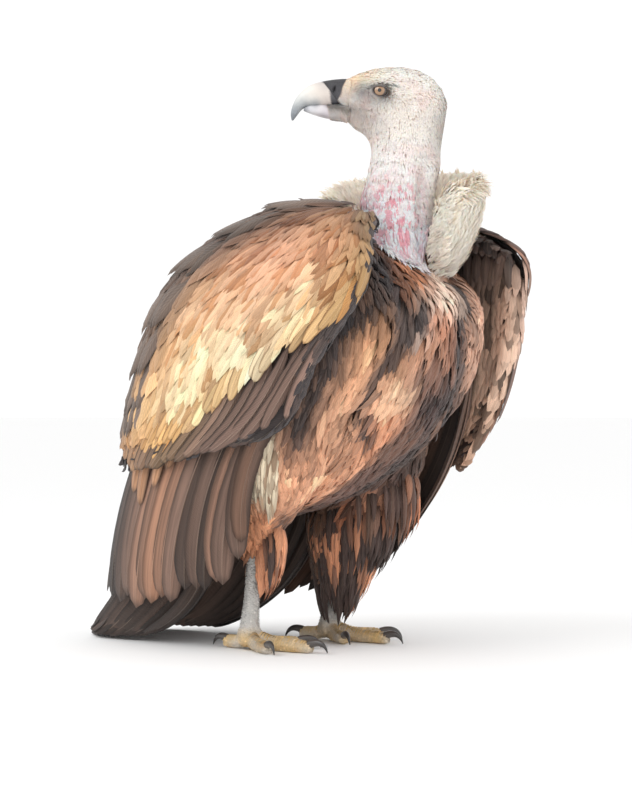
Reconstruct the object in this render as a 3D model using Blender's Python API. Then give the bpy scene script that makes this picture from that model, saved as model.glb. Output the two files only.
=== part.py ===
"""A griffon vulture standing with folded, drooping wings and its head turned back over its right shoulder.

Frame: metres, +Z up.  The bird faces -Y, so its right side is at -X.  Side-view sizes are written as
(forward, up), where forward runs from tail to breast.  The origin is on the floor, under the middle of the
whole bird.  The feet, the tail tip and the wing tips stand on z = 0.
"""
import math

import bmesh
import bpy
import numpy as np
from mathutils import Matrix, Vector

NAME = "griffon_vulture"

# ---------------------------------------------------------------- driving dimensions
GAP = 0.00035                # clearance between touching solids
FLATTEST_CORNER = 0.30       # faces that turn less than this count as one plane when a cutter is grown
FLAT_SINK = 0.0012           # how far each toe pad is pressed flat on the floor
FRINGE = 0.011               # how far every other feather tip stands past the hem of a wing layer
HEAD_TURN = math.radians(-144.0)
HEAD_PLACE = (-0.012, 0.139, 0.6525)   # between the eyes: left, forward, up
EYE_RADIUS = 0.0125
EYE_UP = -0.0020
EYE_SPREAD = 0.0172          # eye centre to the head's middle plane
STANCE_HALF = 0.074          # foot centre to the middle plane
TOE_RADIUS = 0.0085
CLAW_RADIUS = 0.0052
FEET_FORWARD = {"right": -0.004, "left": 0.006}
SIDES = {"right": -1.0, "left": 1.0}

# Trunk sections: breast edge (forward, up), back edge (forward, up), half width.
TRUNK_ROWS = (
    (0.170, 0.468, 0.122, 0.500, 0.022),
    (0.205, 0.439, 0.084, 0.508, 0.074),
    (0.235, 0.411, 0.030, 0.484, 0.112),
    (0.244, 0.374, -0.030, 0.444, 0.132),
    (0.232, 0.322, -0.075, 0.398, 0.140),
    (0.198, 0.266, -0.100, 0.340, 0.134),
    (0.142, 0.218, -0.110, 0.282, 0.114),
    (0.078, 0.182, -0.112, 0.234, 0.088),
    (0.012, 0.160, -0.108, 0.196, 0.060),
    (-0.040, 0.148, -0.098, 0.168, 0.030),
)

# Neck rings from the breast up into the head: centre (left, forward, up), half width across the head's
# line of sight, half depth along it.
NECK_ROWS = (
    (0.000, 0.158, 0.430, 0.032, 0.030),
    (0.000, 0.160, 0.475, 0.040, 0.040),
    (-0.002, 0.157, 0.520, 0.042, 0.044),
    (-0.001, 0.162, 0.550, 0.040, 0.042),
    (0.003, 0.168, 0.580, 0.037, 0.042),
    (0.004, 0.167, 0.604, 0.033, 0.044),
    (0.006, 0.166, 0.622, 0.024, 0.032),
    (0.007, 0.166, 0.632, 0.010, 0.016),
)

# Head rings in the head's own frame: forward of the eyes, top, bottom, half width.
HEAD_ROWS = (
    (0.0385, 0.0140, -0.0330, 0.0132),
    (0.0320, 0.0178, -0.0410, 0.0170),
    (0.0200, 0.0225, -0.0530, 0.0232),
    (0.0040, 0.0268, -0.0640, 0.0285),
    (-0.0150, 0.0286, -0.0680, 0.0325),
    (-0.0350, 0.0270, -0.0680, 0.0345),
    (-0.0530, 0.0205, -0.0660, 0.0335),
    (-0.0670, 0.0090, -0.0620, 0.0285),
    (-0.0765, -0.0080, -0.0540, 0.0190),
    (-0.0800, -0.0250, -0.0400, 0.0080),
)
# Bare cere, hooked upper bill and lower bill, in slanted sections: forward and height of the top edge,
# forward and height of the bottom edge, half width.
CERE_ROWS = (
    (0.0370, 0.0146, 0.0400, -0.0190, 0.0128),
    (0.0450, 0.0144, 0.0420, -0.0182, 0.0128),
    (0.0560, 0.0134, 0.0445, -0.0168, 0.0125),
    (0.0660, 0.0117, 0.0467, -0.0152, 0.0120),
)
BILL_ROWS = (
    (0.0664, 0.0116, 0.0471, -0.0152, 0.0120),
    (0.0780, 0.0085, 0.0580, -0.0172, 0.0113),
    (0.0873, 0.0032, 0.0700, -0.0174, 0.0102),
    (0.0945, -0.0038, 0.0800, -0.0172, 0.0088),
    (0.0992, -0.0110, 0.0870, -0.0186, 0.0072),
    (0.1025, -0.0200, 0.0925, -0.0232, 0.0055),
    (0.1036, -0.0270, 0.0965, -0.0285, 0.0038),
    (0.1026, -0.0336, 0.1005, -0.0336, 0.0015),
)
LOWER_BILL_ROWS = (
    (0.0340, -0.0165, 0.0340, -0.0325, 0.0108),
    (0.0480, -0.0150, 0.0480, -0.0330, 0.0112),
    (0.0600, -0.0142, 0.0600, -0.0312, 0.0104),
    (0.0720, -0.0140, 0.0720, -0.0272, 0.0090),
    (0.0810, -0.0148, 0.0810, -0.0236, 0.0068),
    (0.0860, -0.0172, 0.0860, -0.0214, 0.0042),
)

# Wing sections from shoulder to tip: front edge (forward, up, outward), rear edge (forward, up, outward),
# greatest half width, and thickness.  The left wing droops further forward than the right.
ARM_ROWS = {
    "right": (
        (0.168, 0.506, 0.060, 0.100, 0.522, 0.030, 0.098, 0.010),
        (0.193, 0.478, 0.106, 0.035, 0.517, 0.020, 0.132, 0.026),
        (0.214, 0.442, 0.138, -0.031, 0.491, 0.014, 0.162, 0.034),
        (0.206, 0.405, 0.151, -0.089, 0.456, 0.012, 0.176, 0.034),
        (0.175, 0.362, 0.158, -0.131, 0.406, 0.012, 0.182, 0.030),
        (0.146, 0.322, 0.161, -0.152, 0.350, 0.012, 0.184, 0.026),
        (0.130, 0.285, 0.161, -0.170, 0.300, 0.012, 0.182, 0.020),
        (0.104, 0.262, 0.158, -0.180, 0.258, 0.012, 0.178, 0.012),
        (0.060, 0.243, 0.156, -0.184, 0.220, 0.014, 0.172, 0.009),
    ),
    "left": (
        (0.168, 0.506, 0.060, 0.100, 0.522, 0.030, 0.098, 0.010),
        (0.221, 0.490, 0.104, 0.042, 0.511, 0.020, 0.138, 0.026),
        (0.248, 0.460, 0.134, -0.024, 0.485, 0.014, 0.166, 0.034),
        (0.244, 0.410, 0.136, -0.082, 0.450, 0.012, 0.172, 0.034),
        (0.236, 0.364, 0.144, -0.124, 0.400, 0.012, 0.178, 0.032),
        (0.220, 0.322, 0.148, -0.152, 0.350, 0.012, 0.180, 0.028),
        (0.202, 0.280, 0.150, -0.170, 0.300, 0.012, 0.178, 0.022),
        (0.182, 0.246, 0.148, -0.180, 0.258, 0.012, 0.174, 0.014),
        (0.158, 0.216, 0.144, -0.184, 0.220, 0.014, 0.168, 0.009),
    ),
}
FLIGHT_ROWS = {
    "right": (
        (0.113, 0.300, 0.139, -0.148, 0.290, 0.010, 0.162, 0.008),
        (0.077, 0.255, 0.147, -0.174, 0.240, 0.010, 0.165, 0.012),
        (0.051, 0.205, 0.145, -0.186, 0.190, 0.012, 0.161, 0.012),
        (0.041, 0.150, 0.139, -0.198, 0.140, 0.016, 0.153, 0.010),
        (0.029, 0.100, 0.129, -0.212, 0.095, 0.024, 0.140, 0.008),
        (-0.009, 0.058, 0.113, -0.228, 0.054, 0.034, 0.124, 0.006),
    ),
    "left": (
        (0.176, 0.290, 0.131, -0.148, 0.290, 0.010, 0.158, 0.008),
        (0.158, 0.230, 0.133, -0.174, 0.240, 0.010, 0.161, 0.012),
        (0.136, 0.190, 0.131, -0.186, 0.190, 0.012, 0.157, 0.012),
        (0.098, 0.142, 0.125, -0.198, 0.140, 0.016, 0.149, 0.010),
        (0.060, 0.096, 0.119, -0.212, 0.095, 0.024, 0.138, 0.008),
        (0.024, 0.050, 0.111, -0.228, 0.054, 0.034, 0.124, 0.006),
    ),
}
DROP_SPAN = 0.4             # share of a wing layer over which its dropped inner side comes level again
NOSE_SHARE = 0.34            # share of a wing section that rounds its front edge
CORNER_POWER = 0.62          # how square a wing section turns from the flank to the back
# Primaries, the long wing tips that reach the floor beside the tail.
PRIMARY_ROWS = (
    (-0.020, 0.240, 0.116, -0.140, 0.230, 0.040, 0.132, 0.006),
    (-0.026, 0.180, 0.114, -0.160, 0.172, 0.036, 0.128, 0.009),
    (-0.038, 0.115, 0.104, -0.184, 0.110, 0.038, 0.118, 0.009),
    (-0.066, 0.056, 0.092, -0.212, 0.056, 0.044, 0.102, 0.008),
    (-0.112, 0.022, 0.080, -0.242, 0.026, 0.050, 0.090, 0.007),
    (-0.165, 0.0060, 0.072, -0.268, 0.0065, 0.056, 0.080, 0.006),
)
# Tail, and the back's mantle between the wings: forward, up, half width, half thickness.
TAIL_ROWS = (
    (-0.100, 0.190, 0.020, 0.014),
    (-0.130, 0.140, 0.034, 0.012),
    (-0.158, 0.090, 0.044, 0.009),
    (-0.190, 0.045, 0.052, 0.007),
    (-0.230, 0.014, 0.058, 0.005),
    (-0.275, 0.0034, 0.056, 0.0040),
    (-0.290, 0.0026, 0.046, 0.0030),
)
MANTLE_ROWS = (
    (0.066, 0.502, 0.026, 0.014),
    (0.030, 0.492, 0.036, 0.020),
    (-0.020, 0.466, 0.038, 0.022),
    (-0.068, 0.426, 0.036, 0.021),
    (-0.106, 0.380, 0.028, 0.018),
    (-0.128, 0.342, 0.018, 0.012),
)
# Thigh rings: centre (outward from the foot, forward from the foot, up), half width, half depth.
THIGH_ROWS = {
    "right": (
        (0.004, 0.050, 0.330, 0.034, 0.060),
        (0.010, 0.050, 0.285, 0.046, 0.076),
        (0.010, 0.044, 0.235, 0.048, 0.076),
        (0.006, 0.030, 0.190, 0.040, 0.060),
        (0.002, 0.012, 0.150, 0.028, 0.038),
        (0.000, 0.002, 0.122, 0.017, 0.019),
    ),
    "left": (
        (0.004, 0.050, 0.330, 0.034, 0.060),
        (0.010, 0.052, 0.285, 0.046, 0.078),
        (0.010, 0.048, 0.235, 0.048, 0.080),
        (0.006, 0.036, 0.180, 0.042, 0.066),
        (0.002, 0.018, 0.125, 0.032, 0.044),
        (0.000, 0.006, 0.075, 0.020, 0.024),
    ),
}
# Front toes and hind toe: yaw from straight ahead (inward is positive), length of the toe.
TOES = {
    "middle": (2.0, 0.088),
    "inner": (38.0, 0.062),
    "outer": (-34.0, 0.066),
    "hind": (172.0, 0.040),
}
CLAW_LENGTH = 0.026
CLAW_SWEEP = math.radians(74.0)        # how far a claw's tip has turned from level
CLAW_ROOT = 0.004                      # how far a claw is sunk in its toe
CLAW_LINE = (0.0098, 0.0040, 0.0080)   # height of its root, its arch, and the fall of its tip
CLAW_TAPER = 0.82
# Toe stations: share of its length, girth as a share of the toe's radius, lift of the knuckle.
TOE_ROWS = (
    (0.00, 1.15, 0.0060),
    (0.18, 1.08, 0.0034),
    (0.40, 0.96, 0.0008),
    (0.62, 0.94, 0.0000),
    (0.82, 0.90, 0.0005),
    (1.00, 0.74, 0.0003),
)
# Ball of the foot: forward, up, radius.
BALL_ROWS = (
    (-0.004, 0.028, 0.0105),
    (-0.001, 0.020, 0.0150),
    (0.002, 0.010, 0.0155),
    (0.002, 0.004, 0.0110),
)
# Lower leg: height, radius.  It leans forward by a share of its rise.
TARSUS_ROWS = (
    (0.024, 0.0125),
    (0.032, 0.0115),
    (0.050, 0.0098),
    (0.075, 0.0092),
    (0.100, 0.0098),
    (0.125, 0.0118),
    (0.145, 0.0120),
)
TARSUS_LEAN = 0.10
TARSUS_FOOT = 0.03                     # height at which the lean begins

# Ruff round the foot of the neck: from and to angles about the neck, seen from above.
RUFF_CENTRE = (0.000, 0.162, 0.491)
RUFF_RADIUS = 0.064
RUFF_THICK = 0.026
RUFF_TALL = 0.070
RUFF_FROM = math.radians(-118.0)
RUFF_TO = math.radians(106.0)
RUFF_LEAN = 0.35                       # how far its rim opens outwards
RUFF_END = 0.06                        # share of its run over which each end is rounded off
RUFF_END_POWER = 0.25

# ---------------------------------------------------------------- finishes
FINISHES = {
    "down": ((0.90, 0.82, 0.74), 0.90),
    "ruff": ((0.93, 0.86, 0.76), 0.92),
    "body_feathers": ((0.62, 0.38, 0.24), 0.85),
    "coverts": ((0.72, 0.50, 0.30), 0.80),
    "flight_feathers": ((0.16, 0.11, 0.09), 0.70),
    "bill_horn": ((0.70, 0.68, 0.65), 0.35),
    "cere_skin": ((0.08, 0.08, 0.09), 0.45),
    "leg_scales": ((0.58, 0.55, 0.52), 0.65),
    "claw_horn": ((0.10, 0.09, 0.09), 0.35),
    "eye": ((0.55, 0.32, 0.10), 0.08),
}


def clear_scene():
    """Remove every object that the file opened with."""
    for old in list(bpy.data.objects):
        bpy.data.objects.remove(old, do_unlink=True)


def new_collection(name, hidden=False):
    """Add a collection to the scene; the one with helpers is left out of renders."""
    made = bpy.data.collections.new(name)
    bpy.context.scene.collection.children.link(made)
    made.hide_render = hidden
    return made


def finish(key):
    """Return the material of one finish, made on first use."""
    found = bpy.data.materials.get(key)
    if found:
        return found
    colour, roughness = FINISHES[key]
    made = bpy.data.materials.new(key)
    made.use_nodes = True
    shader = made.node_tree.nodes["Principled BSDF"]
    shader.inputs["Base Color"].default_value = (*colour, 1.0)
    shader.inputs["Roughness"].default_value = roughness
    shader.inputs["Metallic"].default_value = 0.0
    return made


def side_point(left, forward, up):
    """Turn a (left, forward, up) place into the bird's frame."""
    return np.array((left, -forward, up))


def resample(rows, count):
    """Read a table of section sizes at evenly spaced stations along a smooth curve through its rows."""
    table = np.array(rows, dtype=float)
    last = len(table) - 1
    padded = np.vstack((2 * table[0] - table[1], table, 2 * table[-1] - table[-2]))
    where = np.linspace(0.0, last, count)
    start = np.minimum(where.astype(int), last - 1)
    step = (where - start)[:, None]
    before, here, after, beyond = (padded[start + k] for k in range(4))
    return 0.5 * (
        2 * here
        + (after - before) * step
        + (2 * before - 5 * here + 4 * after - beyond) * step ** 2
        + (3 * here - before - 3 * after + beyond) * step ** 3
    )


def oval(centre, across, along, count, power=1.0):
    """Points of a superellipse round a centre; a power under 1 makes it squarer."""
    turn = np.linspace(0.0, 2 * math.pi, count, endpoint=False)
    wide = np.sign(np.cos(turn)) * np.abs(np.cos(turn)) ** power
    deep = np.sign(np.sin(turn)) * np.abs(np.sin(turn)) ** power
    return np.asarray(centre) + wide[:, None] * np.asarray(across) + deep[:, None] * np.asarray(along)


def above_floor(ring):
    """Lay what would hang below the floor flat on it."""
    return np.column_stack((ring[:, :2], np.maximum(ring[:, 2], 0.0)))


def add_object(name, mesh, finish_key, parent=None):
    """Link a mesh as a named part of the bird."""
    made = bpy.data.objects.new(name, mesh)
    BIRD.objects.link(made)
    mesh.materials.clear()
    mesh.materials.append(finish(finish_key))
    mesh.shade_smooth()
    mesh.set_sharp_from_angle(angle=math.radians(50.0))
    if parent:
        made.parent = parent
    return made


def loft(name, rings, finish_key, parent=None, folded=False):
    """Skin a row of rings of equal counts into one closed body; a folded ring is closed across its fold."""
    count = len(rings[0])
    shape = bmesh.new()
    verts = [[shape.verts.new(point) for point in ring] for ring in rings]
    for lower, upper in zip(verts, verts[1:]):
        for k in range(count):
            following = (k + 1) % count
            shape.faces.new((lower[k], lower[following], upper[following], upper[k]))
    for end in (verts[0], verts[-1]):
        if folded:
            for k in range(count // 2 - 1):
                shape.faces.new((end[k], end[k + 1], end[count - 2 - k], end[count - 1 - k]))
        else:
            shape.faces.new(end)
    bmesh.ops.triangulate(shape, faces=shape.faces)
    bmesh.ops.recalc_face_normals(shape, faces=shape.faces)
    mesh = bpy.data.meshes.new(name)
    shape.to_mesh(mesh)
    shape.free()
    return add_object(name, mesh, finish_key, parent)


def corner_move(vert, distance):
    """The shortest move of a corner that carries each of its faces outwards by a distance."""
    normals = np.array([face.normal for face in vert.link_faces])
    wanted = np.full(len(normals), distance)
    return Vector(np.linalg.lstsq(normals, wanted, rcond=FLATTEST_CORNER)[0])


def grown_copy(source, distance):
    """A hidden cutter: the source's shape with every face moved outwards by a distance."""
    mesh = source.data.copy()
    shape = bmesh.new()
    shape.from_mesh(mesh)
    shape.normal_update()
    moves = [corner_move(vert, distance) for vert in shape.verts]
    for vert, move in zip(shape.verts, moves):
        vert.co += move
    shape.to_mesh(mesh)
    shape.free()
    cutter = bpy.data.objects.new(f"cut_{source.name}", mesh)
    CUTTERS.objects.link(cutter)
    cutter.hide_render = True
    cutter.display_type = "WIRE"
    cutter.parent = source.parent
    cutter.matrix_parent_inverse = source.matrix_parent_inverse.copy()
    cutter.matrix_basis = source.matrix_basis.copy()
    return cutter


def keep_largest(mesh):
    """Drop the crumbs that a cut leaves, so one closed body remains."""
    shape = bmesh.new()
    shape.from_mesh(mesh)
    bmesh.ops.remove_doubles(shape, verts=shape.verts, dist=0.000004)
    unseen = set(shape.verts)
    islands = []
    while unseen:
        stack = [unseen.pop()]
        island = []
        while stack:
            vert = stack.pop()
            island.append(vert)
            for edge in vert.link_edges:
                other = edge.other_vert(vert)
                if other in unseen:
                    unseen.discard(other)
                    stack.append(other)
        islands.append(island)
    islands.sort(key=len)
    crumbs = [vert for island in islands[:-1] for vert in island]
    bmesh.ops.delete(shape, geom=crumbs, context="VERTS")
    bmesh.ops.triangulate(shape, faces=shape.faces)
    shape.to_mesh(mesh)
    shape.free()


def combine(target, others, operation):
    """Apply exact Booleans of a target with other objects, and keep one body."""
    for other in others:
        step = target.modifiers.new(operation.lower(), "BOOLEAN")
        step.operation = operation
        step.solver = "EXACT"
        step.object = other
    bpy.context.view_layer.update()
    evaluated = target.evaluated_get(bpy.context.evaluated_depsgraph_get())
    mesh = bpy.data.meshes.new_from_object(evaluated)
    target.modifiers.clear()
    keep_largest(mesh)
    mesh.name = target.name
    target.data = mesh
    mesh.shade_smooth()
    mesh.set_sharp_from_angle(angle=math.radians(50.0))
    return target


def carve(target, *neighbours):
    """Cut the neighbours' shapes, with the clearance, out of a target."""
    return combine(target, [grown_copy(other, GAP) for other in neighbours], "DIFFERENCE")


def tube(name, path, radii, finish_key, parent=None, sides=2):
    """A tapering round bar along a path, as a welded closed mesh."""
    curve = bpy.data.curves.new(name, "CURVE")
    curve.dimensions = "3D"
    curve.bevel_depth = 1.0
    curve.bevel_resolution = sides
    curve.use_fill_caps = True
    line = curve.splines.new("POLY")
    line.points.add(len(path) - 1)
    for point, place, radius in zip(line.points, path, radii):
        point.co = (*place, 1.0)
        point.radius = radius
    guide = bpy.data.objects.new(name, curve)
    CUTTERS.objects.link(guide)
    bpy.context.view_layer.update()
    evaluated = guide.evaluated_get(bpy.context.evaluated_depsgraph_get())
    mesh = bpy.data.meshes.new_from_object(evaluated)
    bpy.data.objects.remove(guide, do_unlink=True)
    shape = bmesh.new()
    shape.from_mesh(mesh)
    bmesh.ops.remove_doubles(shape, verts=shape.verts, dist=0.00005)
    bmesh.ops.triangulate(shape, faces=[f for f in shape.faces if len(f.verts) > 4])
    bmesh.ops.recalc_face_normals(shape, faces=shape.faces)
    shape.to_mesh(mesh)
    shape.free()
    return add_object(name, mesh, finish_key, parent)


def frame_empty(name, place, turn=0.0):
    """An empty that carries the parts of one limb or of the head."""
    made = bpy.data.objects.new(name, None)
    BIRD.objects.link(made)
    made.location = place
    made.rotation_euler = (0.0, 0.0, turn)
    bpy.context.view_layer.update()
    return made


def build_trunk():
    """Body from the foot of the neck to the vent."""
    rings = []
    for front_f, front_z, back_f, back_z, half in resample(TRUNK_ROWS, 13):
        front = side_point(0.0, front_f, front_z)
        back = side_point(0.0, back_f, back_z)
        middle = (front + back) / 2
        rings.append(oval(middle, (half, 0.0, 0.0), (front - back) / 2, 16, 0.88))
    return loft("trunk", rings, "body_feathers")


def build_neck():
    """Downy neck that rises from the breast, its ovals turning with the head."""
    rows = resample(NECK_ROWS, 10)
    rings = []
    sight = np.array((math.sin(HEAD_TURN), -math.cos(HEAD_TURN), 0.0))
    beside = np.array((math.cos(HEAD_TURN), math.sin(HEAD_TURN), 0.0))
    for left, forward, up, wide, deep in rows:
        rings.append(oval(side_point(left, forward, up), beside * wide, sight * deep, 14))
    return loft("neck", rings, "down")


def build_head(frame):
    """Rounded downy skull in the head's own frame, facing -Y."""
    rings = []
    for forward, top, bottom, wide in resample(HEAD_ROWS, 11):
        centre = (0.0, -forward, (top + bottom) / 2)
        rings.append(oval(centre, (wide, 0.0, 0.0), (0.0, 0.0, (top - bottom) / 2), 18, 0.93))
    return loft("head", rings, "down", frame)


def beak_piece(name, rows, stations, finish_key, frame, power):
    """Bill section given by its top and bottom edge and its half width."""
    rings = []
    for top_forward, top, bottom_forward, bottom, wide in resample(rows, stations):
        crest = np.array((0.0, -top_forward, top))
        edge = np.array((0.0, -bottom_forward, bottom))
        rings.append(oval((crest + edge) / 2, (wide, 0.0, 0.0), (crest - edge) / 2, 14, power))
    return loft(name, rings, finish_key, frame)


def build_eye(side, frame):
    """Eyeball that shows between the lids."""
    shape = bmesh.new()
    bmesh.ops.create_uvsphere(shape, u_segments=12, v_segments=8, radius=EYE_RADIUS)
    mesh = bpy.data.meshes.new(f"eye_{side}")
    shape.to_mesh(mesh)
    shape.free()
    eye = add_object(f"eye_{side}", mesh, "eye", frame)
    eye.location = (SIDES[side] * EYE_SPREAD, 0.0, EYE_UP)
    eye.rotation_euler = (0.0, math.radians(90.0), 0.0)
    return eye


def flank_arc(front, rear, half, count):
    """Arc from a front edge round the flank to a rear edge; edges are (forward, up, outward)."""
    turn = np.linspace(0.0, 1.0, count)
    nose = turn < NOSE_SHARE
    lead = turn[nose] / NOSE_SHARE * math.pi / 2
    trail = (turn[~nose] - NOSE_SHARE) / (1 - NOSE_SHARE) * math.pi / 2
    outward = np.empty(count)
    share = np.empty(count)
    outward[nose] = front[2] + (half - front[2]) * np.sin(lead)
    share[nose] = NOSE_SHARE * (1 - np.cos(lead))
    outward[~nose] = rear[2] + (half - rear[2]) * np.cos(trail) ** CORNER_POWER
    share[~nose] = NOSE_SHARE + (1 - NOSE_SHARE) * np.sin(trail)
    forward = front[0] + (rear[0] - front[0]) * share
    up = front[1] + (rear[1] - front[1]) * share
    return outward, forward, up


def shell_ring(row, side, count, drop):
    """Closed section of a wing: its outer arc, and an inner arc that lies within and below it.

    The drop is how far below, as a share of the thickness: it keeps a wing thick where it lies level.
    """
    front = np.array(row[0:3])
    rear = np.array(row[3:6])
    half, thick = row[6:8]
    span = rear - front
    reach = math.hypot(span[0], span[1])
    inner_front = front + span * (0.4 * thick / reach)
    inner_front[2] = front[2] - 0.55 * thick
    inner_rear = rear - span * (thick / reach)
    inner_rear[2] = rear[2]
    inner_front[1] -= drop * thick
    inner_rear[1] -= drop * thick
    points = []
    arcs = ((front, rear, half, 1), (inner_front, inner_rear, half - thick, -1))
    for arc_front, arc_rear, arc_half, order in arcs:
        outward, forward, up = flank_arc(arc_front, arc_rear, arc_half, count)
        points.append(np.stack((outward * side, -forward, up), axis=1)[::order])
    return np.vstack(points)


def build_shell(name, rows, side, stations, count, finish_key, drop_top=0.0):
    """One layer of a folded wing, curved round the flank, with feather tips along its hem."""
    drops = np.interp(np.linspace(0.0, 1.0, stations), (0.0, DROP_SPAN), (drop_top, 0.0))
    rings = [shell_ring(row, side, count, drop) for row, drop in zip(resample(rows, stations), drops)]
    hem = rings[-1] - rings[-2]
    hem /= np.linalg.norm(hem, axis=1)[:, None]
    order = np.concatenate((np.arange(count), np.arange(count)[::-1]))
    rings[-1] = rings[-1] + hem * (FRINGE * (order % 2))[:, None]
    return loft(name, [above_floor(ring) for ring in rings], finish_key, folded=True)


def build_strip(name, rows, stations, finish_key):
    """Flat oval strip along the middle plane, such as the folded tail or the mantle."""
    table = resample(rows, stations)
    spine = np.array([side_point(0.0, forward, up) for forward, up, _, _ in table])
    rings = []
    for place, ahead, (_, _, half, thick) in zip(spine, np.gradient(spine, axis=0), table):
        lift = np.cross((1.0, 0.0, 0.0), ahead / np.linalg.norm(ahead))
        rings.append(above_floor(oval(place, (half, 0.0, 0.0), lift * thick, 12, 0.8)))
    return loft(name, rings, finish_key)


def build_thigh(side):
    """Feathered thigh that narrows to the heel."""
    sign = SIDES[side]
    rings = []
    for outward, forward, up, wide, deep in resample(THIGH_ROWS[side], 10):
        centre = side_point(sign * (STANCE_HALF + outward), FEET_FORWARD[side] + forward, up)
        rings.append(oval(centre, (wide, 0.0, 0.0), (0.0, deep, 0.0), 16))
    return loft(f"thigh_{side}", rings, "body_feathers")


def build_tarsus(side):
    """Scaly lower leg from the heel to the foot."""
    place = side_point(SIDES[side] * STANCE_HALF, FEET_FORWARD[side], 0.0)
    heights, radii = np.array(TARSUS_ROWS).T
    path = [place + side_point(0.0, TARSUS_LEAN * (height - TARSUS_FOOT), height) for height in heights]
    return tube(f"tarsus_{side}", path, radii, "leg_scales")


def floor_cutter():
    """Slab under the floor that presses the pads flat."""
    shape = bmesh.new()
    bmesh.ops.create_cube(shape, size=1.0, matrix=Matrix.Diagonal((2.0, 2.0, 0.2, 1.0)))
    mesh = bpy.data.meshes.new("floor_cutter")
    shape.to_mesh(mesh)
    shape.free()
    cutter = bpy.data.objects.new("floor_cutter", mesh)
    CUTTERS.objects.link(cutter)
    cutter.hide_render = True
    cutter.display_type = "WIRE"
    cutter.location = (0.0, 0.0, -0.1)
    return cutter


def toe_path(length):
    """Side line of a toe: from the ball of the foot, over its knuckles, down to the last pad."""
    share, girth, arch = np.array(TOE_ROWS).T
    girth = girth * TOE_RADIUS
    return share * length, girth + arch - FLAT_SINK, girth


def claw_path(length):
    """Side line of a claw that bends down from the end of a toe, and its radii."""
    bend = np.linspace(0.0, 1.0, 5)
    root, arch, fall = CLAW_LINE
    reach = length - CLAW_ROOT + CLAW_LENGTH * np.sin(bend * CLAW_SWEEP) / math.sin(CLAW_SWEEP)
    height = root + arch * np.sin(bend * math.pi) - fall * bend ** 2
    return reach, height, CLAW_RADIUS * (1.0 - CLAW_TAPER * bend ** 1.3)


def build_foot(side, floor):
    """Three front toes and a hind toe, joined at the ball of the foot, and their claws."""
    sign = SIDES[side]
    frame = frame_empty(f"foot_frame_{side}", side_point(sign * STANCE_HALF, FEET_FORWARD[side], 0.0))
    line = [side_point(0.0, forward, up) for forward, up, _ in BALL_ROWS]
    ball = tube(f"foot_{side}", line, [radius for _, _, radius in BALL_ROWS], "leg_scales", frame)
    toes = []
    claws = []
    for toe_name, (yaw, length) in TOES.items():
        turn = Matrix.Rotation(math.radians(yaw) * -sign, 3, "Z")
        run, height, girth = toe_path(length)
        path = [turn @ Vector((0.0, -distance, up)) for distance, up in zip(run, height)]
        toes.append(tube(f"toe_{toe_name}_{side}", path, girth, "leg_scales", frame))
        reach, drop, size = claw_path(length)
        claw_line = [turn @ Vector((0.0, -distance, up)) for distance, up in zip(reach, drop)]
        claws.append(tube(f"claw_{toe_name}_{side}", claw_line, size, "claw_horn", frame, 1))
    combine(ball, toes, "UNION")
    for toe in toes:
        bpy.data.objects.remove(toe, do_unlink=True)
    combine(ball, [floor], "DIFFERENCE")
    return ball, claws


def build_ruff():
    """Thick downy collar round the foot of the neck, open towards the bird's right."""
    rings = []
    for share in np.linspace(0.0, 1.0, 13):
        angle = RUFF_FROM + (RUFF_TO - RUFF_FROM) * share
        out = np.array((math.cos(angle), -math.sin(angle), 0.0))
        swell = math.sin(math.pi * min(max(share, RUFF_END), 1.0 - RUFF_END)) ** RUFF_END_POWER
        centre = side_point(*RUFF_CENTRE) + out * RUFF_RADIUS
        up = np.array((0.0, 0.0, 1.0)) + out * RUFF_LEAN
        up /= np.linalg.norm(up)
        rings.append(oval(centre, out * RUFF_THICK * swell, up * RUFF_TALL * swell, 12))
    return loft("ruff", rings, "ruff")


def centre_on_floor():
    """Move the whole bird so that the middle of its outline, seen from above, is the origin."""
    bpy.context.view_layer.update()
    solids = [part for part in BIRD.objects if part.type == "MESH"]
    corners = [part.matrix_world @ vert.co for part in solids for vert in part.data.vertices]
    low = Vector(min(corner[axis] for corner in corners) for axis in range(3))
    high = Vector(max(corner[axis] for corner in corners) for axis in range(3))
    middle = (low + high) / 2
    for part in BIRD.objects:
        if part.parent is None:
            part.location -= Vector((middle.x, middle.y, low.z))


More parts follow.
